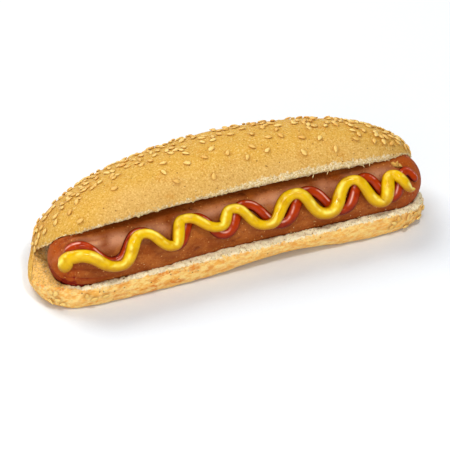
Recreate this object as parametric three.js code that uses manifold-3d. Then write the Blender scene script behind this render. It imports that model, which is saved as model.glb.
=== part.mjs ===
// A hot dog: a frankfurter in a side-sliced sesame roll, with a wave of ketchup and a wave of mustard
// piped along it. Four solids, in millimetres, +Z up. +X runs along the roll and -Y is the open side.
// The origin is the middle of the flat underside.
import * as THREE from "three";
import { mergeVertices } from "three/addons/utils/BufferGeometryUtils.js";
import Module from "manifold-3d";

const wasm = await Module();
wasm.setup();

const GAP = 0.35; // clearance left between touching pieces
const SEED_OF_DRAW = 7;

// Both halves of the roll run from a left to a right end point. A power says how blunt an outline is
// at the ends, or at the left and the right one: front and back as seen from above, keel and crown as
// seen from the front.
const BASE = {
  left: -91.7,
  right: 86.9,
  tipDepth: -12, // the end points of the lower half lie forward of the middle
  tipHeight: 8,
  frontPower: [10, 16],
  backPower: [2.3, 3],
  keelPower: 9,
  halfDepth: 31,
  splay: 0.055, // how much further out the front stands at the left end than in the middle
  rimHeight: 12.4,
  rimDip: 0.9, // how much lower the rim is at the left end
  drop: 17, // depth of the rounded belly, of which what would be below the board is flat
  power: 3.5,
  tuck: { at: 0.22, reach: 0.3, share: 0.33 }, // where the belly's front is rounder, and by how much
};
const LID = {
  left: -86.2,
  right: 87.2,
  tipDepth: 0,
  leftHeight: 14.5, // at the left end the slice runs out, at the right the sausage props the lid up
  rightHeight: 17.8,
  frontPower: [7, 5],
  backPower: 2.3,
  crownPower: [2.1, 2],
  edge: { depth: -23.1, height: 38.7 }, // the front edge of the open lid
  arch: 3.4, // how much lower its edge is at both ends, were it not drawn in there
  back: { depth: 30.5, height: 13 }, // where it joins the lower half
  thickness: 22.3,
  thinning: 0.07, // share of the thickness lost by the middle, and again by the left end
  power: 2.25,
};

// Where the slice ends inside the roll.
const CREASE = { depth: 7, height: 15.5 };

// Its left end is blunt, its right end round, and its left stretch lies a little forward of the rest.
const SAUSAGE = {
  left: -85.4,
  right: 86.2,
  radius: 13.5,
  cap: 15, // length of each drawn-in end
  leftPower: 2.4,
  rightPower: 2,
  depth: -14.6,
  height: 18.9,
  bend: { from: -5, to: -55, forward: 2.2, down: 0.5 },
};

// The turns of each piped wave: distance along the sausage, degrees up from its front, and bead width.
const MUSTARD = {
  rise: 1.9, // height of the bead's middle over the sausage
  over: 2, // how much further up it rides where it crosses the ketchup
  flat: 0.8, // height of the bead as a share of its width
  swell: [0.25, 0.05], // how much wider it is half way up to a turn, and half way down to one
  turns: [
    [-82.9, 26.5, 6.2],
    [-78.4, 39.5, 5.8],
    [-59.6, 11.8, 4.9],
    [-47.7, 48.6, 4.5],
    [-34.2, 20.5, 4.6],
    [-28.3, 53.3, 4.4],
    [-11.7, 28.4, 4.3],
    [-5.7, 49.3, 4.3],
    [8.8, 14.7, 4.4],
    [23.4, 50, 4.9],
    [36.3, 10.5, 5.3],
    [50.2, 50.5, 4.3],
    [62, 8.5, 5.2],
    [68.4, 44, 4.9],
    [77.3, 13.5, 3.9],
  ],
};
const KETCHUP = {
  rise: 0.8,
  over: 0,
  flat: 0.66,
  swell: [0.05, -0.12],
  turns: [
    [-80.5, 55, 4.6],
    [-76.5, 57, 4.9],
    [-60.8, 15.5, 4.9],
    [-47.8, 54.5, 4.8],
    [-32.5, 15, 4.5],
    [-22.3, 53.5, 4.4],
    [-9.4, 13, 5.2],
    [1, 53.5, 4.8],
    [16.7, 8, 5.4],
    [30, 51.5, 4.9],
    [44.6, 6, 5.4],
    [56.8, 51.5, 4.7],
    [67.6, 7, 5],
    [75.6, 47, 4.4],
    [80.6, 30, 4.5],
  ],
};

const SESAME = { lidCount: 176, baseCount: 10, length: 3.3, width: 2.1, height: 0.7, sunk: 0.3 };

// ---------- shared helpers ----------

// A closed surface through rings of equal length, shut at both ends by a fan to the ring's own middle.
function loft(rings) {
  const count = rings[0].length;
  const positions = rings.flat().flatMap((p) => [p.x, p.y, p.z]);
  const faces = [];
  for (let i = 0; i + 1 < rings.length; i++)
    for (let j = 0; j < count; j++) {
      const [a, b] = [i * count + j, i * count + ((j + 1) % count)];
      faces.push(a, b + count, b, a, a + count, b + count);
    }
  for (const [ring, turned] of [[0, true], [rings.length - 1, false]]) {
    const middle = rings[ring].reduce((sum, p) => sum.add(p), new THREE.Vector3()).divideScalar(count);
    const centre = positions.push(middle.x, middle.y, middle.z) / 3 - 1;
    for (let j = 0; j < count; j++) {
      const [a, b] = [ring * count + j, ring * count + ((j + 1) % count)];
      faces.push(...(turned ? [centre, a, b] : [centre, b, a]));
    }
  }
  const geometry = new THREE.BufferGeometry();
  geometry.setAttribute("position", new THREE.Float32BufferAttribute(positions, 3));
  geometry.setIndex(faces);
  return geometry;
}

// A geometry as a manifold-3d solid, its shared vertices merged.
function solidOf(geometry) {
  const bare = geometry.clone();
  bare.deleteAttribute("normal");
  bare.deleteAttribute("uv");
  const merged = mergeVertices(bare, 1e-4);
  const made = new wasm.Manifold(
    new wasm.Mesh({
      numProp: 3,
      vertProperties: merged.attributes.position.array,
      triVerts: new Uint32Array(merged.index.array),
    }),
  );
  if (made.volume() < 0) throw new Error("a solid is inside out");
  return made;
}

// A manifold-3d solid's largest body as a named mesh.
function meshOf(name, solid, colour, roughness) {
  const body = solid.decompose().sort((a, b) => b.volume() - a.volume())[0];
  const { vertProperties, triVerts } = body.getMesh();
  const geometry = new THREE.BufferGeometry();
  geometry.setAttribute("position", new THREE.BufferAttribute(vertProperties, 3));
  geometry.setIndex(new THREE.BufferAttribute(triVerts, 1));
  const mesh = new THREE.Mesh(geometry, new THREE.MeshStandardMaterial({ color: colour, roughness }));
  mesh.name = name;
  return mesh;
}

// Numbers from 0 to 1 in a fixed order (mulberry32).
function drawer(seed) {
  let state = seed;
  return () => {
    state = (state + 0x6d2b79f5) | 0;
    let t = Math.imul(state ^ (state >>> 15), 1 | state);
    t = (t + Math.imul(t ^ (t >>> 7), 61 | t)) ^ t;
    return ((t ^ (t >>> 14)) >>> 0) / 4294967296;
  };
}

const powered = (value, power) => Math.sign(value) * Math.abs(value) ** power;

// Angles spread evenly over half a turn, its two ends left out.
const halfTurn = (count) => Array.from({ length: count }, (_, i) => (Math.PI * (i + 0.5)) / count);

// The x of a place along a piece that runs from a left to a right end, from -1 at its left to 1 at its right.
const between = ({ left, right }, share) => (left + right) / 2 + (share * (right - left)) / 2;

// ---------- roll ----------

// The share of its full size that a section keeps, for ends of the given bluntness.
function taper(share, power) {
  const blunt = Array.isArray(power) ? power[share < 0 ? 0 : 1] : power;
  return Math.sqrt(Math.max(0, 1 - Math.abs(share) ** blunt));
}

// A point of the lower half, given by its depth and height at the middle of the roll.
function basePoint(share, depth, height) {
  const front = depth < BASE.tipDepth;
  const plan = taper(share, front ? BASE.frontPower : BASE.backPower) * (front ? 1 - BASE.splay * share : 1);
  const keel = taper(share, BASE.keelPower);
  return new THREE.Vector3(
    between(BASE, share),
    BASE.tipDepth + (depth - BASE.tipDepth) * plan,
    Math.max(0, BASE.tipHeight + (height - BASE.tipHeight) * keel),
  );
}

// The height of the lower half's rim.
const rimAt = (share) => BASE.rimHeight - BASE.rimDip * Math.min(0, share) ** 2;

// The crust of the lower half at angle t, from the back at 0 under the belly to the front rim at pi.
function baseCrust(share, t) {
  const depth = BASE.halfDepth * powered(Math.cos(t), 2 / BASE.power);
  const tucked = depth < 0 ? BASE.tuck.share * Math.exp(-(((share - BASE.tuck.at) / BASE.tuck.reach) ** 2)) : 0;
  return basePoint(share, depth, rimAt(share) - BASE.drop * (1 - tucked) * powered(Math.sin(t), 2 / BASE.power));
}

// A point of the lid's cut face, given by its depth and height at the middle of the roll.
function lidPoint(share, depth, height, power) {
  const plan = taper(share, power);
  const tip = LID.leftHeight + ((LID.rightHeight - LID.leftHeight) * (share + 1)) / 2;
  return new THREE.Vector3(
    between(LID, share),
    LID.tipDepth + (depth - LID.tipDepth) * plan,
    tip + (height - tip) * plan,
  );
}

// The front edge of the open lid.
function lidEdge(share) {
  return lidPoint(share, LID.edge.depth, LID.edge.height - LID.arch * share * share, LID.frontPower);
}

// The crust of the lid at angle t, from the front edge at 0 over the crown to the back at pi.
function lidCrust(share, t) {
  const edge = lidEdge(share);
  const back = lidPoint(share, LID.back.depth, LID.back.height, LID.backPower);
  const reach = edge.clone().sub(back).divideScalar(2);
  const out = new THREE.Vector3(0, reach.z, -reach.y).normalize();
  const thickness = LID.thickness * (1 - LID.thinning * (1 - share)) * taper(share, LID.crownPower);
  return back
    .add(reach)
    .addScaledVector(reach, powered(Math.cos(t), 2 / LID.power))
    .addScaledVector(out, thickness * powered(Math.sin(t), 2 / LID.power));
}

// One section of the sliced roll: belly, rim, slice, crease, lid's underside, edge and crown.
function rollSection(share) {
  const belly = halfTurn(12).map((t) => baseCrust(share, t));
  const slice = [
    basePoint(share, -BASE.halfDepth + 0.6, rimAt(share) - 0.2),
    basePoint(share, -BASE.halfDepth + 3, rimAt(share) + 0.4),
    basePoint(share, -12, rimAt(share) + 0.6),
    basePoint(share, CREASE.depth - 3, rimAt(share) + 1.2),
  ];
  const crease = lidPoint(share, CREASE.depth, CREASE.height, LID.frontPower);
  const edge = lidEdge(share);
  const underside = [0.12, 0.55, 0.93].map((along) => crease.clone().lerp(edge, along));
  const crown = halfTurn(15).map((t) => lidCrust(share, t));
  return [...belly, ...slice, crease, ...underside, ...crown];
}

// The sections crowd towards the ends, where the outline turns.
function rollBody() {
  return solidOf(loft(halfTurn(39).map((t) => rollSection(-Math.cos(t)))));
}

// ---------- sausage ----------

// The sausage's radius at x, its ends drawn in to rounded caps.
function sausageRadius(x) {
  const leftCap = Math.max(0, SAUSAGE.left + SAUSAGE.cap - x) / SAUSAGE.cap;
  const rightCap = Math.max(0, x - SAUSAGE.right + SAUSAGE.cap) / SAUSAGE.cap;
  const drawnIn = leftCap ** SAUSAGE.leftPower + rightCap ** SAUSAGE.rightPower;
  return SAUSAGE.radius * Math.sqrt(Math.max(0, 1 - drawnIn));
}

// The middle of the sausage at x, as depth and height.
function sausageAxis(x) {
  const { from, to, forward, down } = SAUSAGE.bend;
  const swung = 1 - THREE.MathUtils.smoothstep(x, to, from);
  return { depth: SAUSAGE.depth - forward * swung, height: SAUSAGE.height - down * swung };
}

// A point over the sausage's skin: degrees are counted up from its front, and height from the skin.
function overSausage(x, degrees, height) {
  const angle = THREE.MathUtils.degToRad(degrees);
  const spot = (at) => {
    const [r, axis] = [sausageRadius(at), sausageAxis(at)];
    return new THREE.Vector3(at, axis.depth - r * Math.cos(angle), axis.height + r * Math.sin(angle));
  };
  const step = 0.2;
  const along = spot(x + step).sub(spot(x - step));
  const round = new THREE.Vector3(0, Math.sin(angle), Math.cos(angle));
  return spot(x).add(along.cross(round).normalize().multiplyScalar(height));
}

// The point itself, or, if it is nearer the sausage than GAP, the spot at that clearance.
function clearOfSausage(point) {
  const axis = sausageAxis(point.x);
  const out = new THREE.Vector2(point.y - axis.depth, point.z - axis.height);
  out.setLength(Math.max(out.length(), sausageRadius(point.x) + GAP));
  return new THREE.Vector3(point.x, axis.depth + out.x, axis.height + out.y);
}

function sausageBody(extra = 0) {
  const steps = 22;
  const profile = Array.from({ length: steps + 1 }, (_, i) => {
    const share = Math.sin(Math.PI * (i / steps - 0.5));
    const x = between(SAUSAGE, share);
    const radius = i === 0 || i === steps ? 0 : sausageRadius(x) + extra;
    return new THREE.Vector2(radius, x + extra * share);
  });
  const geometry = new THREE.LatheGeometry(profile, 24);
  geometry.rotateZ(-Math.PI / 2);
  const places = geometry.attributes.position;
  for (let i = 0; i < places.count; i++) {
    const axis = sausageAxis(places.getX(i));
    places.setY(i, places.getY(i) + axis.depth);
    places.setZ(i, places.getZ(i) + axis.height);
  }
  return solidOf(geometry);
}

// ---------- sauces ----------

const WAVE_HANDLE = 0.5; // how far each turn holds level before it swings over
const BEAD_SIDES = 8;
const STEPS_PER_TURN = 6;

// A smooth wave through the turns, level at each, as [x, degrees, width] at a share of its length.
function waveAt({ turns, swell }, share) {
  const place = Math.min(share, 1 - 1e-9) * (turns.length - 1);
  const [from, to] = [turns[Math.floor(place)], turns[Math.floor(place) + 1]];
  const t = place - Math.floor(place);
  const ease = t * t * (3 - 2 * t);
  const drift = 3 * t * (1 - t) ** 2 * WAVE_HANDLE + 3 * t * t * (1 - t) * (1 - WAVE_HANDLE) + t ** 3;
  const [x, degrees, width] = [drift, ease, ease].map((part, k) => from[k] + (to[k] - from[k]) * part);
  const wider = swell[to[1] > from[1] ? 0 : 1];
  return [x, degrees, width * (1 + wider * 4 * t * (1 - t))];
}

// How near a spot on the skin is to a wave, in millimetres.
function distanceTo(sauce, x, degrees) {
  const perDegree = (SAUSAGE.radius * Math.PI) / 180;
  let nearest = Infinity;
  for (let i = 0; i <= 200; i++) {
    const [wx, wd] = waveAt(sauce, i / 200);
    nearest = Math.min(nearest, Math.hypot(x - wx, (degrees - wd) * perDegree));
  }
  return nearest;
}

// The centre line of a bead, lying on the sausage and riding over another wave if there is one.
function beadLine(sauce, under) {
  const steps = (sauce.turns.length - 1) * STEPS_PER_TURN;
  return Array.from({ length: steps + 1 }, (_, i) => {
    const [x, degrees, width] = waveAt(sauce, i / steps);
    const clear = under ? distanceTo(under, x, degrees) / 4.5 : Infinity;
    const height = sauce.rise + sauce.over * Math.exp(-clear * clear);
    return { spot: overSausage(x, degrees, height), up: overSausage(x, degrees, height + 1), width };
  });
}

// A bead of sauce, its underside resting on the sausage; extra makes it fatter all round.
function beadBody(sauce, under, extra = 0) {
  const line = beadLine(sauce, under);
  const rings = line.map(({ spot, up, width }, i) => {
    const before = line[Math.max(0, i - 1)].spot;
    const after = line[Math.min(line.length - 1, i + 1)].spot;
    const along = after.clone().sub(before).normalize();
    const over = up.clone().sub(spot).normalize();
    const aside = along.clone().cross(over).normalize();
    const end = Math.min(i, line.length - 1 - i);
    const shrink = end < 3 ? [0.45, 0.8, 0.95][end] : 1;
    const reach = (width / 2) * shrink + extra;
    return Array.from({ length: BEAD_SIDES }, (_, j) => {
      const angle = (2 * Math.PI * j) / BEAD_SIDES;
      const point = spot
        .clone()
        .addScaledVector(aside, reach * Math.cos(angle))
        .addScaledVector(over, reach * sauce.flat * Math.sin(angle));
      return clearOfSausage(point);
    });
  });
  return solidOf(loft(rings));
}

// ---------- sesame ----------

// How thickly seeds lie at a spot of the lid's crust, from 0 to 1: none by the cut edge, most along the
// crown and towards the ends, and fewer again down the back.
function lidDensity(share, t) {
  const front = THREE.MathUtils.smoothstep(t, Math.PI * 0.1, Math.PI * 0.34);
  const back = 1 - THREE.MathUtils.smoothstep(t, Math.PI * 0.6, Math.PI * 0.92);
  return front * back * (0.6 + 0.4 * Math.abs(share));
}

// A few seeds stick to the front corners of the lower half.
function baseDensity(share, t, spot) {
  return Math.abs(share) > 0.75 && spot.y < -22 && spot.z > 3.5 && spot.z < 9.5 ? 1 : 0;
}

// One seed lying along X: a tear-shaped outline under a low ridge.
function seedGeometry() {
  const outline = [[1, 0], [0.45, 0.75], [-0.45, 1], [-1, 0], [-0.45, -1], [0.45, -0.75]];
  const positions = [...outline.flatMap(([x, y]) => [x, y, 0]), 0.35, 0, 1, -0.4, 0, 1];
  const [nose, tail] = [6, 7];
  const sides = [0, 1, nose, 1, 2, tail, 2, 3, tail, 3, 4, tail, 4, 5, nose, 5, 0, nose];
  const ridge = [1, tail, nose, 4, nose, tail];
  const under = [1, 0, 5, 1, 5, 4, 1, 4, 2, 2, 4, 3];
  const geometry = new THREE.BufferGeometry();
  geometry.setAttribute("position", new THREE.Float32BufferAttribute(positions, 3));
  geometry.setIndex([...sides, ...ridge, ...under]);
  return geometry;
}

// Seeds thrown on a crust by a density, none closer than its own length to another.
function scatter(count, crust, density, draw) {
  const shape = seedGeometry();
  const seeds = [];
  const taken = [];
  while (seeds.length < count) {
    const share = 0.97 * Math.sin((draw() - 0.5) * Math.PI);
    const t = Math.PI * draw();
    const [spin, keep] = [draw() * Math.PI, draw()];
    const spot = crust(share, t);
    const crowded = taken.some((other) => other.distanceTo(spot) < SESAME.length);
    if (crowded || keep > density(share, t, spot)) continue;
    const along = crust(share + 0.002, t).sub(crust(share - 0.002, t)).normalize();
    const over = crust(share, t + 0.01).sub(crust(share, t - 0.01)).normalize();
    const out = along.clone().cross(over).normalize();
    const aside = out.clone().cross(along).normalize();
    const axis = along.clone().multiplyScalar(Math.cos(spin)).addScaledVector(aside, Math.sin(spin));
    const frame = new THREE.Matrix4().makeBasis(axis, out.clone().cross(axis), out);
    frame.scale(new THREE.Vector3(SESAME.length / 2, SESAME.width / 2, SESAME.height + SESAME.sunk));
    frame.setPosition(spot.clone().addScaledVector(out, -SESAME.sunk));
    seeds.push(solidOf(shape.clone().applyMatrix4(frame)));
    taken.push(spot);
  }
  return wasm.Manifold.union(seeds);
}

function sesameSeeds() {
  const draw = drawer(SEED_OF_DRAW);
  const onLid = scatter(SESAME.lidCount, lidCrust, lidDensity, draw);
  return onLid.add(scatter(SESAME.baseCount, baseCrust, baseDensity, draw));
}

// ---------- assembly ----------

const roll = rollBody().subtract(sausageBody(GAP)).add(sesameSeeds());
const sausage = sausageBody();
const ketchup = beadBody(KETCHUP);
const mustard = beadBody(MUSTARD, KETCHUP).subtract(beadBody(KETCHUP, null, GAP));

const hotDog = new THREE.Group();
hotDog.add(
  meshOf("roll", roll, 0xd9a65a, 0.8),
  meshOf("sausage", sausage, 0xa4593a, 0.4),
  meshOf("ketchup", ketchup, 0xa31d08, 0.2),
  meshOf("mustard", mustard, 0xe8b800, 0.3),
);

export default hotDog;
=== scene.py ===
"""A hot dog, dressed for a studio picture: a frankfurter in a side-sliced sesame roll, with a wave of
ketchup and a wave of mustard piped along it.

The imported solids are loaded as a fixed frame, and each of them is replaced by a finer piece of the same
form. The sizes below are in millimetres, in the frame's own axes: +X runs along the roll, -Y is its open
side and +Z is up. Blender gets them in metres.
"""

import logging
import math
import random
from dataclasses import dataclass, field
from enum import Enum
from typing import Callable

import bpy
import numpy as np
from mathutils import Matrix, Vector, kdtree, noise

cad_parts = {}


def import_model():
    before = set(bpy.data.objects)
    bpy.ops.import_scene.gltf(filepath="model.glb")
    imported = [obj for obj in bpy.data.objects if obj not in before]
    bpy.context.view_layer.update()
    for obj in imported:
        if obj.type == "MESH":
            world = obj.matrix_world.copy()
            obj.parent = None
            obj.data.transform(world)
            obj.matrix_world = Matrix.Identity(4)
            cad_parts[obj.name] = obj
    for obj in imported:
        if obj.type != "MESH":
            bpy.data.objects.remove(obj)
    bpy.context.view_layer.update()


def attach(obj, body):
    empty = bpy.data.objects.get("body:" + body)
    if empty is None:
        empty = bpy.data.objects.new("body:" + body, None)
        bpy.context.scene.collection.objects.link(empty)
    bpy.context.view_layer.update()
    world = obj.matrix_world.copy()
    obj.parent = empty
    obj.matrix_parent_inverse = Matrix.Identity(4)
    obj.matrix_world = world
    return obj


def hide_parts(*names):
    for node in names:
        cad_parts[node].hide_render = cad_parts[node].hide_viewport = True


MM = 0.001
LOG = logging.getLogger("hot_dog")
# How far apart the patterns of lumps are taken from the one endless noise.
PATTERN_GAP = 17.3
# How blunt an outline is at its ends: the same at both, or the left one's and the right one's.
Blunt = float | tuple[float, float]
Tree = bpy.types.NodeTree
Socket = bpy.types.NodeSocket
Colour = Socket | str


class Slot(Enum):
    """The record's material slots."""

    CRUST = "crust"
    CRUMB = "crumb"
    SESAME = "sesame"
    SAUSAGE = "sausage"
    KETCHUP = "ketchup"
    MUSTARD = "mustard"


# ---------- numbers and shapes ----------


def powered(value: np.ndarray, power: float) -> np.ndarray:
    """A number raised to a power, with its sign kept."""
    return np.sign(value) * np.abs(value) ** power


def smooth(low: float, high: float, value: np.ndarray) -> np.ndarray:
    """A soft step that rises from 0 at low to 1 at high."""
    t = np.clip((value - low) / (high - low), 0, 1)
    return t * t * (3 - 2 * t)


def taper(share: np.ndarray, blunt: Blunt) -> np.ndarray:
    """The share of its full size that a section keeps.

    Args:
        share: Place along the piece, from -1 at its left end to 1 at its right end.
        blunt: How blunt the outline is at its ends, or at the left and the right one.

    Returns:
        A number from 0 to 1 for each place.
    """
    left, right = blunt if isinstance(blunt, tuple) else (blunt, blunt)
    power = np.where(share < 0, left, right)
    return np.sqrt(np.clip(1 - np.abs(share) ** power, 0, None))


def between(left: float, right: float, share: np.ndarray) -> np.ndarray:
    """A place from left to right, at shares from -1 to 1."""
    return (left + right) / 2 + share * (right - left) / 2


def even_points(curves: np.ndarray, count: int) -> np.ndarray:
    """Spreads points evenly along curves, each curve's last point left out.

    Args:
        curves: Curves by points by 3.
        count: How many points each curve gets.

    Returns:
        Curves by count by 3.
    """
    spread = np.empty((len(curves), count, 3))
    for row, curve in zip(spread, curves):
        steps = np.linalg.norm(np.diff(curve, axis=0), axis=1)
        length = np.concatenate([[0], np.cumsum(steps)])
        wanted = np.linspace(0, length[-1], count, endpoint=False)
        for axis in range(3):
            row[:, axis] = np.interp(wanted, length, curve[:, axis])
    return spread


@dataclass(frozen=True)
class Step:
    """A soft step: nothing at its start, and its whole amount from its end on."""

    start: float
    end: float
    amount: float = 1.0

    def at(self, value: np.ndarray | float) -> np.ndarray:
        """The step's height there."""
        return self.amount * smooth(self.start, self.end, value)


@dataclass(frozen=True)
class Hill:
    """A soft hill: its whole amount in its middle, and about a third of it at its reach to both sides."""

    middle: float
    reach: float
    amount: float = 1.0

    def at(self, value: np.ndarray | float) -> np.ndarray:
        """The hill's height there."""
        return self.amount * np.exp(-(((value - self.middle) / self.reach) ** 2))


@dataclass(frozen=True)
class Lumps:
    """Smooth random heights: how high, how far apart the lumps are, and which of many patterns."""

    height: float
    size: float
    pattern: int


def relief(points: np.ndarray, *layers: Lumps) -> np.ndarray:
    """Adds up layers of lumps over a surface.

    Args:
        points: Points by 3, in any shape before the last axis.
        layers: The layers.

    Returns:
        Heights in the shape of the points.
    """
    heights = np.zeros(points.shape[:-1])
    for layer in layers:
        flat = (points / layer.size + PATTERN_GAP * layer.pattern).reshape(-1, 3)
        found = np.array([noise.noise(Vector(p)) for p in flat])
        heights = heights + layer.height * found.reshape(heights.shape)
    return heights


def normals_of(grid: np.ndarray) -> np.ndarray:
    """Outward normals of a grid whose columns go round the piece and whose rows go along it.

    Args:
        grid: Rows by columns by 3.

    Returns:
        Unit vectors, in the shape of the grid.
    """
    along = np.gradient(grid, axis=0)
    round_it = (np.roll(grid, -1, axis=1) - np.roll(grid, 1, axis=1)) / 2
    across = np.cross(along, round_it)
    return across / np.maximum(np.linalg.norm(across, axis=2, keepdims=True), 1e-9)


def deselect_all() -> None:
    """Leaves nothing selected, so that an operator acts on what it is meant to."""
    for other in bpy.context.selected_objects:
        other.select_set(False)


def wrapped_sphere(name: str, grid: np.ndarray, ends: tuple[np.ndarray, np.ndarray]) -> bpy.types.Object:
    """Wraps a sphere's vertices round a grid, so that the piece is closed and even.

    Args:
        name: The piece's name.
        grid: Rings by points by 3, from the left end to the right, each ring clockwise seen from +X.
        ends: The point that closes the left end and the one that closes the right.

    Returns:
        The piece, smooth shaded, at the origin.
    """
    rings, count = grid.shape[:2]
    deselect_all()
    bpy.ops.mesh.primitive_uv_sphere_add(segments=count, ring_count=rings + 1, radius=1)
    piece = bpy.context.object
    piece.name = piece.data.name = name
    places = np.empty(len(piece.data.vertices) * 3, np.float32)
    piece.data.vertices.foreach_get("co", places)
    places = places.reshape(-1, 3).astype(float)
    ring = np.rint(np.arccos(np.clip(-places[:, 2], -1, 1)) / math.pi * (rings + 1)).astype(int)
    column = np.rint(np.arctan2(-places[:, 1], places[:, 0]) / (2 * math.pi) * count).astype(int) % count
    moved = grid[np.clip(ring - 1, 0, rings - 1), column]
    moved[ring == 0] = ends[0]
    moved[ring == rings + 1] = ends[1]
    piece.data.vertices.foreach_set("co", (moved * MM).astype(np.float32).ravel())
    for label, values in (("ring", ring), ("column", column)):
        piece.data.attributes.new(label, "INT", "POINT").data.foreach_set("value", values)
    return finished(piece)


def finished(piece: bpy.types.Object) -> bpy.types.Object:
    """Turns every face outward and shades the piece smooth.

    Args:
        piece: The piece.

    Returns:
        The same piece.
    """
    deselect_all()
    piece.select_set(True)
    bpy.context.view_layer.objects.active = piece
    bpy.ops.object.mode_set(mode="EDIT")
    bpy.ops.mesh.select_all(action="SELECT")
    bpy.ops.mesh.normals_make_consistent(inside=False)
    bpy.ops.object.mode_set(mode="OBJECT")
    bpy.ops.object.shade_smooth()
    piece.data.update()
    return piece


def paint(piece: bpy.types.Object, name: str, grid: np.ndarray, ends: tuple[float, float]) -> None:
    """Stores a number for each vertex of a wrapped piece, for its material to read.

    Args:
        piece: A piece made by wrapped_sphere.
        name: The attribute's name.
        grid: Rings by points.
        ends: The numbers at the left and right end points.
    """
    count = len(piece.data.vertices)
    ring, column = np.empty(count, np.int32), np.empty(count, np.int32)
    piece.data.attributes["ring"].data.foreach_get("value", ring)
    piece.data.attributes["column"].data.foreach_get("value", column)
    values = grid[np.clip(ring - 1, 0, len(grid) - 1), column]
    values[ring == 0], values[ring == len(grid) + 1] = ends
    layer = piece.data.attributes.new(name, "FLOAT", "POINT")
    layer.data.foreach_set("value", values.astype(np.float32))


# ---------- finishes ----------


def linear(colour: str) -> tuple[float, float, float, float]:
    """An sRGB hex colour such as "#e6b761" as linear red, green, blue and alpha.

    Args:
        colour: The hex colour.

    Returns:
        Its four shares, from 0 to 1.
    """
    shares = [int(colour[i : i + 2], 16) / 255 for i in (1, 3, 5)]
    flat = [c / 12.92 if c <= 0.04045 else ((c + 0.055) / 1.055) ** 2.4 for c in shares]
    return (*flat, 1.0)


def per_mm(size: float) -> float:
    """The texture scale that gives a pattern of this size in millimetres on Object coordinates."""
    return 1 / (size * MM)


def node(tree: Tree, kind: str, inputs: dict | None = None, **settings) -> bpy.types.Node:
    """Adds a node with its settings and links.

    Args:
        tree: The material's node tree.
        kind: The node's type, without "ShaderNode" before it.
        inputs: By socket name or number, a value to set or an output socket to link.
        settings: Properties of the node.

    Returns:
        The node.
    """
    made = tree.nodes.new("ShaderNode" + kind)
    for name, value in settings.items():
        setattr(made, name, value)
    for key, value in (inputs or {}).items():
        if isinstance(value, bpy.types.NodeSocket):
            tree.links.new(value, made.inputs[key])
        else:
            made.inputs[key].default_value = value
    return made


@dataclass(frozen=True)
class Coat:
    """A colour laid over what is below it, where a pattern says.

    With limits, the pattern is stretched so that it is bare at the first and covers at the second.
    """

    colour: Colour
    pattern: Socket
    bare: float | None = None
    full: float | None = None


def coated(tree: Tree, ground: Colour, *coats: Coat) -> Socket:
    """Lays coats over a ground colour, one after another.

    Args:
        tree: The material's node tree.
        ground: The colour below them all, a socket or an sRGB hex value.
        coats: The coats, from the lowest up.

    Returns:
        The colour that shows.
    """
    shown = ground
    for coat in coats:
        amount = coat.pattern
        if coat.bare is not None:
            limits = {0: coat.pattern, 1: coat.bare, 2: coat.full}
            amount = node(tree, "MapRange", limits, interpolation_type="SMOOTHSTEP").outputs[0]
        below, above = (linear(c) if isinstance(c, str) else c for c in (shown, coat.colour))
        shown = node(tree, "Mix", {0: amount, 6: below, 7: above}, data_type="RGBA").outputs[2]
    return shown


def open_material(name: str, *marks: str) -> tuple[bpy.types.Material, Tree, dict[str, Socket]]:
    """Starts a material.

    Args:
        name: Its name.
        marks: The attributes that it reads.

    Returns:
        The material, its node tree, and by name its Object coordinates ("place") and the marks.
    """
    material = bpy.data.materials.new(name)
    material.use_nodes = True
    tree = material.node_tree
    tree.nodes.clear()
    read = {mark: node(tree, "Attribute", attribute_name=mark).outputs["Fac"] for mark in marks}
    return material, tree, {"place": node(tree, "TexCoord").outputs["Object"], **read}


def close_material(tree: Tree, inputs: dict) -> None:
    """Ends a material in a Principled surface with these inputs."""
    surface = node(tree, "BsdfPrincipled", inputs)
    node(tree, "OutputMaterial", {"Surface": surface.outputs["BSDF"]})


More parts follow.
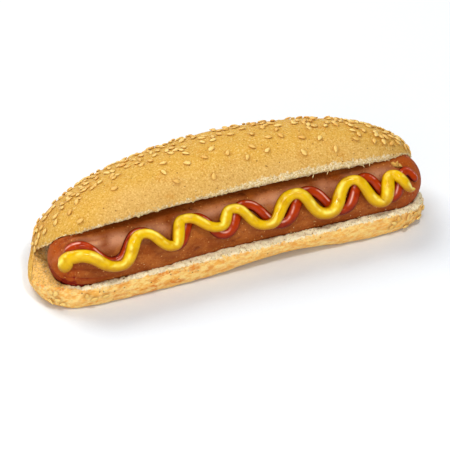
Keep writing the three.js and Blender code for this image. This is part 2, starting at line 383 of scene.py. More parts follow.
@dataclass(frozen=True)
class Bread:
    """Wheat bread: a baked crust dusted by its own starch, and the torn crumb inside."""

    golden: str = "#d9a43e"
    amber: str = "#cc861e"
    pale: str = "#d9a857"
    dust: str = "#eec878"
    toasted: str = "#a8691c"
    wall: str = "#f6b654"
    wall_pale: str = "#fed986"
    blotch: str = "#dc7a1e"
    # Painted shade in the crust's pores.
    pore_shade: str = "#84521a"
    crumb: str = "#c9a868"
    crumb_pale: str = "#efdcb4"
    crumb_white: str = "#f6e6bc"
    # Painted shade in the crumb's pores.
    crumb_pore_shade: str = "#96682c"
    # A shaded copy of the crumb, painted for the left end under the lid, and its painted shade in the pores.
    shaded: str = "#eeb860"
    shaded_deep: str = "#b88c46"
    # Sizes of the starch grains and fine blisters, and of the crumb's bubbles.
    grain_size: float = 0.8
    bubble_size: float = 1.2
    # Sizes of the lid's clouds, and of the wall's blotches and clouds.
    cloud_size: float = 8
    blotch_size: float = 3.8
    wall_cloud_size: float = 2
    # The gaps between the crust's pores.
    pore_gap: float = 3.4
    # The cut line is frayed at this size, and wanders this far to both sides of its place.
    fray_size: float = 1.3
    wander: float = 1.5

    def make(self) -> bpy.types.Material:
        """Builds the material that the roll wears, crust and crumb in one.

        Returns:
            The material.
        """
        marks = ("cut", "bake_and_shade", "lower", "seed_shade")
        material, tree, read = open_material("baked_crust_and_torn_crumb", *marks)
        place = read["place"]
        fine = {"Vector": place, "Scale": per_mm(self.grain_size), "Detail": 4.0, "Roughness": 0.75}
        read["grains"] = node(tree, "TexNoise", fine).outputs[0]
        open_ones = {"Vector": place, "Scale": per_mm(self.bubble_size), "Detail": 3.0, "Roughness": 0.65}
        read["bubbles"] = node(tree, "TexNoise", open_ones).outputs[0]
        pores = node(tree, "TexVoronoi", {"Vector": place, "Scale": per_mm(self.pore_gap)}, feature="F1")
        crust = coated(
            tree, self.lid_crust(tree, read),
            Coat(self.wall_crust(tree, read), read["lower"]),
            # Painted shade in the crust's pores.
            Coat(self.pore_shade, pores.outputs["Distance"], 0.13, 0.05),
            # Painted shade: the toasted colour laid round each seed.
            Coat(self.toasted, read["seed_shade"]),
        )
        torn = self.tornness(tree, read)
        depth = node(tree, "Mix", {0: torn, 2: read["grains"], 3: read["bubbles"]})
        bumps = node(tree, "Bump", {"Height": depth.outputs[0], "Distance": 0.6 * MM, "Strength": 0.9})
        close_material(tree, {
            "Base Color": coated(tree, crust, Coat(self.torn_crumb(tree, read), torn)),
            "Roughness": node(tree, "MapRange", {0: torn, 3: 0.62, 4: 0.9}).outputs[0],
            "Specular IOR Level": 0.15,
            "Subsurface Weight": 0.06,
            "Subsurface Radius": (1.0, 0.55, 0.25),
            "Subsurface Scale": 1.5 * MM,
            "Normal": bumps.outputs[0],
        })
        return material

    def tornness(self, tree: Tree, read: dict[str, Socket]) -> Socket:
        """0 on the crust and 1 on the crumb, with a frayed line between them.

        Args:
            tree: The material's node tree.
            read: By name, the sockets of what the material reads.

        Returns:
            How torn the surface is.
        """
        frayed_in = {"Vector": read["place"], "Scale": per_mm(self.fray_size), "Detail": 3.0}
        frayed = node(tree, "TexNoise", frayed_in).outputs[0]
        swing = {0: frayed, 1: 0.25, 2: 0.75, 3: -self.wander, 4: self.wander}
        wandering = node(tree, "MapRange", swing).outputs[0]
        line = node(tree, "Math", {0: read["cut"], 1: wandering}, operation="ADD").outputs[0]
        return node(tree, "MapRange", {0: line, 1: -0.7, 2: 0.6}, interpolation_type="SMOOTHSTEP").outputs[0]

    def lid_crust(self, tree: Tree, read: dict[str, Socket]) -> Socket:
        """The lid's crust: pale by the cut edge, golden over the crown, amber where it baked hardest.

        Args:
            tree: The material's node tree.
            read: By name, the sockets of what the material reads.

        Returns:
            The colour that shows.
        """
        clouds_in = {"Vector": read["place"], "Scale": per_mm(self.cloud_size), "Detail": 3.0}
        clouds = node(tree, "TexNoise", clouds_in).outputs[0]
        return coated(
            tree, self.pale,
            Coat(self.golden, read["bake_and_shade"], 0.02, 0.3),
            Coat(self.amber, read["bake_and_shade"], 0.55, 1.2),
            Coat(self.amber, clouds, 0.53, 0.95),
            Coat(self.dust, read["grains"], 0.49, 0.67),
            Coat(self.toasted, read["grains"], 0.48, 0.25),
        )

    def wall_crust(self, tree: Tree, read: dict[str, Socket]) -> Socket:
        """The lower half's crust: paler, with browned blotches drawn out along it.

        Args:
            tree: The material's node tree.
            read: By name, the sockets of what the material reads.

        Returns:
            The colour that shows.
        """
        drawn = node(tree, "Mapping", {"Vector": read["place"], "Scale": (0.6, 1.0, 1.3)}).outputs[0]
        blotches_in = {"Vector": drawn, "Scale": per_mm(self.blotch_size), "Detail": 6.0, "Roughness": 0.7}
        blotches = node(tree, "TexNoise", blotches_in).outputs[0]
        clouds_in = {
            "Vector": drawn, "Scale": per_mm(self.wall_cloud_size), "Detail": 4.0, "Roughness": 0.7
        }
        clouds = node(tree, "TexNoise", clouds_in).outputs[0]
        limits = {0: blotches, 1: 0.46, 2: 0.62}
        blotched = node(tree, "MapRange", limits, interpolation_type="SMOOTHSTEP").outputs[0]
        browned = node(tree, "Math", {0: blotched, 1: read["bake_and_shade"]}, operation="MULTIPLY")
        return coated(
            tree, self.wall,
            Coat(self.wall_pale, clouds, 0.4, 0.58),
            Coat(self.toasted, read["grains"], 0.42, 0.2),
            Coat(self.blotch, browned.outputs[0]),
        )

    def torn_crumb(self, tree: Tree, read: dict[str, Socket]) -> Socket:
        """The crumb: cream walls with painted shade in its pores, whitest on the lower half, and browner at
        the left end, where a painted shaded copy stands in for the shade under the lid.

        Args:
            tree: The material's node tree.
            read: By name, the sockets of what the material reads.

        Returns:
            The colour that shows.
        """
        grains, bubbles = read["grains"], read["bubbles"]
        white = coated(tree, self.crumb_pale, Coat(self.crumb_white, grains, 0.36, 0.54))
        # The left end's crumb is a painted shaded copy, with painted shade in its pores.
        shaded_copy = coated(
            tree, self.shaded,
            Coat(self.shaded_deep, bubbles, 0.62, 0.3),
            Coat(self.crumb_pale, grains, 0.54, 0.7),
        )
        return coated(
            tree, self.crumb,
            Coat(self.crumb_pale, grains, 0.4, 0.62),
            Coat(white, read["lower"]),
            # Painted shade in the crumb's pores.
            Coat(self.crumb_pore_shade, bubbles, 0.44, 0.26),
            # At the left end the crumb turns into its painted shaded copy.
            Coat(shaded_copy, read["bake_and_shade"], 0.1, 0.9),
        )


@dataclass(frozen=True)
class TornCrumb:
    """Loose bread crumb: dull, open and pale."""

    light: str = "#e0c893"
    deep: str = "#b08648"
    golden: str = "#cc9a48"
    # The size of its open grain.
    grain_size: float = 0.8

    def make(self) -> bpy.types.Material:
        """Builds the material of crumbs and shreds.

        Returns:
            The material.
        """
        material, tree, read = open_material("loose_bread_crumb", "toast")
        grains_in = {"Vector": read["place"], "Scale": per_mm(self.grain_size), "Detail": 2.0}
        grains = node(tree, "TexNoise", grains_in).outputs[0]
        bumps = node(tree, "Bump", {"Height": grains, "Distance": 0.25 * MM, "Strength": 0.5})
        close_material(tree, {
            "Base Color": coated(
                tree, self.light, Coat(self.deep, grains, 0.45, 0.75), Coat(self.golden, read["toast"])
            ),
            "Roughness": 0.92,
            "Specular IOR Level": 0.3,
            "Subsurface Weight": 0.2,
            "Subsurface Radius": (1.0, 0.7, 0.4),
            "Subsurface Scale": 0.6 * MM,
            "Normal": bumps.outputs[0],
        })
        return material


@dataclass(frozen=True)
class HulledSesame:
    """Hulled sesame: a dry, satin seed coat, toasted more on some seeds than on others."""

    light: str = "#ecc974"
    toasted: str = "#dba548"
    # The size of the mottles on the coat.
    mottle_size: float = 0.9

    def make(self) -> bpy.types.Material:
        """Builds the seeds' material, with each seed's toasting from its own attribute.

        Returns:
            The material.
        """
        material, tree, read = open_material("hulled_sesame", "toast")
        mottles_in = {"Vector": read["place"], "Scale": per_mm(self.mottle_size), "Detail": 2.0}
        mottles = node(tree, "TexNoise", mottles_in).outputs[0]
        bumps = node(tree, "Bump", {"Height": mottles, "Distance": 0.12 * MM, "Strength": 0.4})
        close_material(tree, {
            "Base Color": coated(
                tree, self.light, Coat(self.toasted, read["toast"]), Coat(self.toasted, mottles, 0.5, 0.8)
            ),
            "Roughness": 0.42,
            "Specular IOR Level": 0.35,
            "Subsurface Weight": 0.1,
            "Subsurface Radius": (1.0, 0.6, 0.3),
            "Subsurface Scale": 0.8 * MM,
            "Normal": bumps.outputs[0],
        })
        return material


@dataclass(frozen=True)
class CookedSkin:
    """A cooked sausage's skin: smooth, greasy satin over fine-ground meat."""

    brown: str = "#8a400a"
    pink: str = "#a65a1e"
    ruddy: str = "#882c02"
    dark: str = "#622404"
    fleck: str = "#cc9050"
    # A painted highlight: the sheen colour, laid in a band high on the skin's front.
    sheen: str = "#ce8e66"
    tip: str = "#b24e02"
    # The crease colour is painted shade in the folds of the ends.
    crease: str = "#781404"
    # Sizes of the patches and mottles of the skin, the ground meat that shows through it, the folds
    # round its ends and the gaps between flecks of fat.
    patch_size: float = 8
    mottle_size: float = 3
    meat_size: float = 0.9
    fold_gap: float = 2
    fat_gap: float = 2.6
    # How rough the skin is: greasiest, driest, and where it is ruddy or drawn in at its tips.
    roughness: tuple[float, float, float] = (0.26, 0.46, 0.7)

    def make(self) -> bpy.types.Material:
        """Builds the sausage's material.

        Returns:
            The material.
        """
        material, tree, read = open_material("cooked_sausage_skin", "ruddy", "painted_sheen", "tip")
        place, ruddy, tip = read["place"], read["ruddy"], read["tip"]
        drawn = node(tree, "Mapping", {"Vector": place, "Scale": (0.6, 1.0, 1.0)}).outputs[0]
        patches_in = {"Vector": drawn, "Scale": per_mm(self.patch_size), "Detail": 4.0, "Roughness": 0.6}
        patches = node(tree, "TexNoise", patches_in).outputs[0]
        mottles_in = {"Vector": drawn, "Scale": per_mm(self.mottle_size), "Detail": 3.0}
        mottles = node(tree, "TexNoise", mottles_in).outputs[0]
        ground = {"Vector": place, "Scale": per_mm(self.meat_size), "Detail": 4.0, "Roughness": 0.75}
        meat = node(tree, "TexNoise", ground).outputs[0]
        hoops = node(tree, "Mapping", {"Vector": place, "Scale": (1.0, 0.3, 0.3)}).outputs[0]
        folds = node(tree, "TexNoise", {"Vector": hoops, "Scale": per_mm(self.fold_gap), "Detail": 3.0})
        fat = node(tree, "TexVoronoi", {"Vector": place, "Scale": per_mm(self.fat_gap)}, feature="F1")
        colour = coated(
            tree, self.brown,
            Coat(self.pink, patches, 0.44, 0.64),
            Coat(self.pink, mottles, 0.54, 0.8),
            Coat(self.dark, mottles, 0.42, 0.16),
            # A painted highlight: the sheen band.
            Coat(self.sheen, read["painted_sheen"]),
            # The browned tips, with painted shade in their folds.
            Coat(coated(tree, self.tip, Coat(self.crease, folds.outputs[0], 0.54, 0.8)), tip),
            # Partly the skin's own red-brown, partly painted shade in the pleats and tucked folds.
            Coat(self.ruddy, ruddy),
            # Painted shade in the folds, where the ruddy mark is strongest.
            Coat(self.crease, ruddy, 0.6, 0.9),
            Coat(self.fleck, meat, 0.57, 0.76),
            Coat(self.dark, meat, 0.45, 0.24),
            Coat(self.fleck, fat.outputs["Distance"], 0.13, 0.07),
        )
        bumps = node(tree, "Bump", {"Height": meat, "Distance": 0.3 * MM, "Strength": 0.4})
        greasiest, driest, drawn_in = self.roughness
        gloss = {0: mottles, 1: 0.3, 2: 0.7, 3: greasiest, 4: driest}
        rough = node(tree, "MapRange", gloss).outputs[0]
        drier = node(tree, "Math", {0: ruddy, 1: tip}, operation="MAXIMUM").outputs[0]
        close_material(tree, {
            "Base Color": colour,
            "Roughness": node(tree, "Mix", {0: drier, 2: rough, 3: drawn_in}).outputs[0],
            "Specular IOR Level": 0.12,
            "Subsurface Weight": 0.06,
            "Subsurface Radius": (1.0, 0.35, 0.2),
            "Subsurface Scale": 1.5 * MM,
            "Normal": bumps.outputs[0],
        })
        return material


@dataclass(frozen=True)
class WetSauce:
    """A thick wet sauce: even colour, with painted shade low on the bead's flanks, a painted highlight along
    it, and a glossy skin.
    """

    name: str
    colour: str
    deep: str
    # Painted shade, low on the bead's flanks and at its edges.
    flank: str
    # A painted highlight along the bead.
    painted_highlight: str
    roughness: float
    gloss: float
    glow: tuple[float, float, float]
    swirl_size: float = 4
    # Its pulp breaks the gloss. It is too fine to show, so it is drawn as coarse as this.
    pulp_size: float = 1.5

    def make(self) -> bpy.types.Material:
        """Builds the sauce's material.

        Returns:
            The material.
        """
        material, tree, read = open_material(self.name, "flank", "crest")
        swirl_in = {"Vector": read["place"], "Scale": per_mm(self.swirl_size), "Detail": 3.0}
        pulp_in = {"Vector": read["place"], "Scale": per_mm(self.pulp_size), "Detail": 3.0}
        swirl, pulp = (node(tree, "TexNoise", inputs).outputs[0] for inputs in (swirl_in, pulp_in))
        colour = coated(
            tree, self.colour,
            Coat(self.deep, swirl, 0.44, 0.7),
            # Painted shade low on the bead's flanks and at its edges.
            Coat(self.flank, read["flank"]),
            # A painted highlight along the bead.
            Coat(self.painted_highlight, read["crest"]),
        )
        bumps = node(tree, "Bump", {"Height": pulp, "Distance": 0.4 * MM, "Strength": 0.45})
        close_material(tree, {
            "Base Color": colour,
            "Roughness": self.roughness,
            "Specular IOR Level": self.gloss,
            "Subsurface Weight": 0.1,
            "Subsurface Radius": self.glow,
            "Subsurface Scale": 2 * MM,
            "Normal": bumps.outputs[0],
        })
        return material


@dataclass(frozen=True)
class PalePaper:
    """A seamless roll of white background paper."""

    white: str = "#e7e9ea"
    whiter: str = "#eaeced"
    # The paper's tooth is too fine to show, so it is drawn as coarse as this.
    tooth_size: float = 1.5

    def make(self) -> bpy.types.Material:
        """Builds the floor's material, with a trace of the paper's tooth.

        Returns:
            The material.
        """
        material, tree, read = open_material("background_paper")
        tooth_in = {"Vector": read["place"], "Scale": per_mm(self.tooth_size), "Detail": 2.0}
        tooth = node(tree, "TexNoise", tooth_in).outputs[0]
        colour = coated(tree, self.white, Coat(self.whiter, tooth))
        close_material(tree, {"Base Color": colour, "Roughness": 0.95, "Specular IOR Level": 0.1})
        return material


# ---------- the sausage ----------


@dataclass(frozen=True)
class Sausage:
    """The frankfurter: a tube with a blunt, puckered left end and a round right end.

    Its left stretch lies a little forward and down of the rest.
    """

    left: float = -85.4
    right: float = 86.2
    radius: float = 13.5
    # Each end is drawn in over this length, the more bluntly the higher its power.
    cap: float = 15
    left_power: float = 2.4
    right_power: float = 2
    # Where its middle line runs.
    depth: float = -14.6
    height: float = 18.9
    # The left stretch swings forward and down between these places.
    swing: Step = Step(-5, -55)
    forward: float = 2.2
    down: float = 0.5
    rings: int = 220
    sides: int = 200
    # The skin's unevenness, and the radii over which it grows to its full height from the tips.
    uneven: tuple[Lumps, ...] = (Lumps(0.3, 17, 1), Lumps(0.14, 5, 2))
    even_tips: Step = Step(0, 4)
    # The pucker of the left end, by the distance from its tip: its pleats deepen, then fade.
    pleats: int = 19
    pleat_depth: float = 0.9
    pleat_sharpness: float = 0.6
    pleats_deepen: Step = Step(1, 6)
    pleats_fade: Step = Step(10, 30)
    creases: tuple[Hill, ...] = (Hill(3.4, 0.7, 0.4), Hill(6.8, 0.8, 0.3))
    # The browned skin of the tips, by x.
    left_tip: Step = Step(-73, -84, 0.8)
    right_tip: Step = Step(68, 80, 0.85)
    # The reddest skin: striped with painted shade where it is tucked under the left end, by the distance
    # from its tip, and at the right end and low on the right, by x.
    stripes: int = 24
    tucked: Step = Step(18, 7)
    right_end: Step = Step(66, 86, 0.15)
    low_right: Step = Step(20, 75, 0.45)
    # The painted sheen, a band of painted highlight by degrees up from the front, and the patches that break
    # it up.
    sheen_band: Hill = Hill(54, 13)
    sheen_patches: Lumps = Lumps(0.9, 6, 20)
    sheen_left: Step = Step(-30, -60, 0.25)
    sheen_end: Step = Step(80, 66)

    def axis(self, x: np.ndarray) -> tuple[np.ndarray, np.ndarray]:
        """The depth and height of the sausage's middle at x."""
        swung = self.swing.at(x)
        return self.depth - self.forward * swung, self.height - self.down * swung

    def radius_at(self, x: np.ndarray) -> np.ndarray:
        """The radius at x, drawn in at both ends.

        Args:
            x: Places along the sausage, as x.

        Returns:
            Radii, in the shape of x.
        """
        left_cap = np.clip(self.left + self.cap - x, 0, None) / self.cap
        right_cap = np.clip(x - self.right + self.cap, 0, None) / self.cap
        drawn_in = left_cap**self.left_power + right_cap**self.right_power
        return self.radius * np.sqrt(np.clip(1 - drawn_in, 0, None))

    def spot(self, x: np.ndarray, degrees: np.ndarray) -> np.ndarray:
        """A point on the skin, its angle counted up from the front.

        Args:
            x: Places along the sausage, as x.
            degrees: Angles up from the sausage's front, in degrees.

        Returns:
            Points by 3, in the shape of x.
        """
        angle, radius = np.radians(degrees), self.radius_at(x)
        depth, height = self.axis(x)
        return np.stack([x, depth - radius * np.cos(angle), height + radius * np.sin(angle)], -1)

    def upright(self, x: np.ndarray, degrees: np.ndarray) -> np.ndarray:
        """The skin's outward normal at a spot.

        Args:
            x: Places along the sausage, as x.
            degrees: Angles up from the sausage's front, in degrees.

        Returns:
            Unit vectors by 3, in the shape of x.
        """
        step, angle = 0.2, np.radians(degrees)
        along = self.spot(x + step, degrees) - self.spot(x - step, degrees)
        round_it = np.stack([np.zeros_like(x), np.sin(angle), np.cos(angle)], -1)
        out = np.cross(along, round_it)
        return out / np.linalg.norm(out, axis=-1, keepdims=True)

    def pushed_out(self, points: np.ndarray, clearance: float) -> np.ndarray:
        """Moves points that are nearer than a clearance to the skin straight out from the axis.

        Args:
            points: Points by 3, in any shape before the last axis.
            clearance: How far off the skin they have to be; below 0, how far inside it they may be.

        Returns:
            The points, in their shape.
        """
        depth, height = self.axis(points[..., 0])
        y, z = points[..., 1] - depth, points[..., 2] - height
        reach = np.maximum(np.hypot(y, z), 1e-6)
        radius = self.radius_at(points[..., 0])
        wanted = np.where(radius > 0, np.maximum(reach, radius + clearance), reach)
        return np.stack([points[..., 0], depth + y * wanted / reach, height + z * wanted / reach], -1)

    def pleating(self, x: np.ndarray, angle: np.ndarray) -> np.ndarray:
        """How deep the skin is drawn in by the pleats of the left end, in millimetres.

        Args:
            x: Places along the sausage, as x.
            angle: Angles round the sausage's middle, in radians: 0 is its back and half pi its top.

        Returns:
            Depths, in the shape of x.
        """
        into = x - self.left
        fade = self.pleats_deepen.at(into) * (1 - self.pleats_fade.at(into))
        # The pleats sway a little, so that no two are alike.
        sway = 0.5 * np.sin(into / 4) + 0.5 * np.sin(3 * angle)
        folds = np.abs(np.sin(self.pleats * angle / 2 + sway)) ** self.pleat_sharpness
        return self.pleat_depth * fade * (1 - folds) + sum(crease.at(into) for crease in self.creases)

    def build(self) -> bpy.types.Object:
        """Models the sausage.

        Returns:
            The piece, with the attributes "ruddy" and "tip", and one that holds its painted sheen.
        """
        turn = np.linspace(0, 1, self.rings + 2)[1:-1, None]
        x = between(self.left, self.right, -np.cos(math.pi * turn))
        x, angle = np.broadcast_arrays(x, -2 * math.pi * np.arange(self.sides)[None, :] / self.sides)
        ideal = np.stack([x, *self.axis(x)], -1)
        out = np.stack([np.zeros_like(x), np.cos(angle), np.sin(angle)], -1)
        skin = ideal + out * self.radius_at(x)[..., None]
        pleating = self.pleating(x, angle)
        swell = (relief(skin, *self.uneven) - pleating) * self.even_tips.at(self.radius_at(x))
        grid = skin + out * swell[..., None]
        left_end, right_end = (np.array([x, *self.axis(np.array(x))]) for x in (self.left, self.right))
        piece = wrapped_sphere("frankfurter", grid, (left_end, right_end))
        # The pleats are painted ruddy as shade in their folds, most on the side that faces down.
        creased = (0.65 + 0.45 * smooth(0.1, -0.4, np.sin(angle))) * np.clip(pleating, 0, 1)
        paint(piece, "ruddy", np.clip(self.ruddiness(x, angle) + creased, 0, 1), (0.5, 0.5))
        paint(piece, "tip", self.left_tip.at(x) + self.right_tip.at(x), (0.8, 0.8))
        paint(piece, "painted_sheen", self.painted_sheen_at(skin, angle), (0, 0))
        return piece

    def ruddiness(self, x: np.ndarray, angle: np.ndarray) -> np.ndarray:
        """How red-brown the skin is: most at both ends and low on the right, with painted shade striped into
        the folds under the left end.

        Args:
            x: Places along the sausage, as x.
            angle: Angles round the sausage's middle, in radians: 0 is its back and half pi its top.

        Returns:
            Numbers from 0 to 1, in the shape of x.
        """
        low = smooth(0.2, -0.9, np.sin(angle))
        into = x - self.left
        stripes = 0.62 + 0.38 * np.cos(self.stripes * angle + 0.7 * into)
        tucked = self.tucked.at(into) * smooth(-0.1, -0.55, np.sin(angle))
        ends = 1.1 * tucked * stripes + self.right_end.at(x)
        return np.clip(ends + low * (0.25 + self.low_right.at(x)), 0, 1)

    def painted_sheen_at(self, skin: np.ndarray, angle: np.ndarray) -> np.ndarray:
        """How much painted highlight, a pale sheen, the skin gets: in patches high on its front, most on the
        left.

        Args:
            skin: Points of the skin, by 3.
            angle: Angles round the sausage's middle, in radians: 0 is its back and half pi its top.

        Returns:
            Numbers from 0 to 1, in the shape of the angles.
        """
        up, x = np.degrees(np.arctan2(np.sin(angle), -np.cos(angle))), skin[..., 0]
        patchy = 0.5 + relief(skin, self.sheen_patches) + self.sheen_left.at(x)
        return self.sheen_band.at(up) * np.clip(patchy, 0, 0.85) * self.sheen_end.at(x)


# ---------- the roll ----------


@dataclass(frozen=True)
class LowerHalf:
    """The lower half of the roll, before it is hollowed for the sausage."""

    left: float = -91.7
    right: float = 86.9
    # The sections shrink to this depth and height at both ends.
    tip_depth: float = -12
    tip_height: float = 8
    # How blunt its front and back are, seen from above, and its underside, seen from the front.
    front_power: Blunt = (10, 16)
    back_power: Blunt = (2.3, 3)
    keel_power: float = 9
    half_depth: float = 31
    # The front stands out further at the left end and less at the right, by this share.
    splay: float = 0.055
    # The rim's height, and how much lower it is at the left end.
    rim_height: float = 12.4
    rim_dip: float = 0.9
    # How far the belly hangs below the rim before it is cut flat, and how square its section is.
    drop: float = 17
    power: float = 3.5
    # The belly is drawn in right of the middle, by this share of its drop.
    tuck: Hill = Hill(0.22, 0.3, 0.33)

    def point(self, share: np.ndarray, depth: np.ndarray, height: np.ndarray) -> np.ndarray:
        """A point given by its depth and height at the middle of the roll.

        Args:
            share: Places along the roll, from -1 at its left end to 1 at its right end.
            depth: Its y there.
            height: Its z there.

        Returns:
            Points by 3.
        """
        front = taper(share, self.front_power) * (1 - self.splay * share)
        plan = np.where(depth < self.tip_depth, front, taper(share, self.back_power))
        x = between(self.left, self.right, share)
        y = self.tip_depth + (depth - self.tip_depth) * plan
        z = self.tip_height + (height - self.tip_height) * taper(share, self.keel_power)
        return np.stack(np.broadcast_arrays(x, y, np.clip(z, 0, None)), -1)

    def rim(self, share: np.ndarray) -> np.ndarray:
        """The height of the rim, a little lower towards the left end."""
        return self.rim_height - self.rim_dip * np.minimum(0, share) ** 2

    def crust(self, share: np.ndarray, t: np.ndarray) -> np.ndarray:
        """The crust at angle t, from the back at 0 under the belly to the front rim at pi.

        Args:
            share: Places along the roll, from -1 at its left end to 1 at its right end.
            t: Angles from 0 to pi.

        Returns:
            Points by 3, shares by angles.
        """
        depth = self.half_depth * powered(np.cos(t), 2 / self.power)
        drop = self.drop * (1 - self.tuck.at(share) * (depth < 0)) * powered(np.sin(t), 2 / self.power)
        return self.point(share, depth, self.rim(share) - drop)


@dataclass(frozen=True)
class Lid:
    """The upper half, tipped open to the front."""

    left: float = -86.2
    right: float = 87.2
    # The sections shrink to this depth, and to these heights at the left and right end.
    tip_depth: float = 0
    left_height: float = 14.5
    right_height: float = 17.8
    # How blunt its front edge, its back and its crown are along the roll.
    front_power: Blunt = (7, 5)
    back_power: Blunt = 2.3
    crown_power: Blunt = (2.1, 2)
    # The front edge, highest in its middle and lower by the arch towards the ends, and the back edge.
    edge_depth: float = -23.1
    edge_height: float = 38.7
    arch: float = 3.4
    back: tuple[float, float] = (30.5, 13)
    # How thick the lid is over the line from edge to edge, how much thinner it gets to the left as a
    # share, and how square its section is.
    thickness: float = 22.3
    thinning: float = 0.07
    power: float = 2.25

    def point(self, share: np.ndarray, depth: float, height: float | np.ndarray, power: Blunt) -> np.ndarray:
        """A point of the cut face given by its depth and height at the middle of the roll.

        Args:
            share: Places along the roll, from -1 at its left end to 1 at its right end.
            depth: Its y there.
            height: Its z there.
            power: How blunt the outline is that it lies on.

        Returns:
            Points by 3.
        """
        plan = taper(share, power)
        tip = self.left_height + (self.right_height - self.left_height) * (share + 1) / 2
        x = between(self.left, self.right, share)
        y = self.tip_depth + (depth - self.tip_depth) * plan
        return np.stack(np.broadcast_arrays(x, y, tip + (height - tip) * plan), -1)

    def crust(self, share: np.ndarray, t: np.ndarray) -> np.ndarray:
        """The crust at angle t, from the front edge at 0 over the crown to the back at pi.

        Args:
            share: Places along the roll, from -1 at its left end to 1 at its right end.
            t: Angles from 0 to pi.

        Returns:
            Points by 3, shares by angles.
        """
        edge = self.point(share, self.edge_depth, self.edge_height - self.arch * share**2, self.front_power)
        back = self.point(share, *self.back, self.back_power)
        reach = (edge - back) / 2
        out = np.stack([np.zeros_like(reach[..., 0]), reach[..., 2], -reach[..., 1]], -1)
        out /= np.maximum(np.linalg.norm(out, axis=-1, keepdims=True), 1e-9)
        thickness = self.thickness * (1 - self.thinning * (1 - share)) * taper(share, self.crown_power)
        flat = powered(np.cos(t), 2 / self.power)[..., None]
        high = (thickness * powered(np.sin(t), 2 / self.power))[..., None]
        return back + reach + reach * flat + out * high


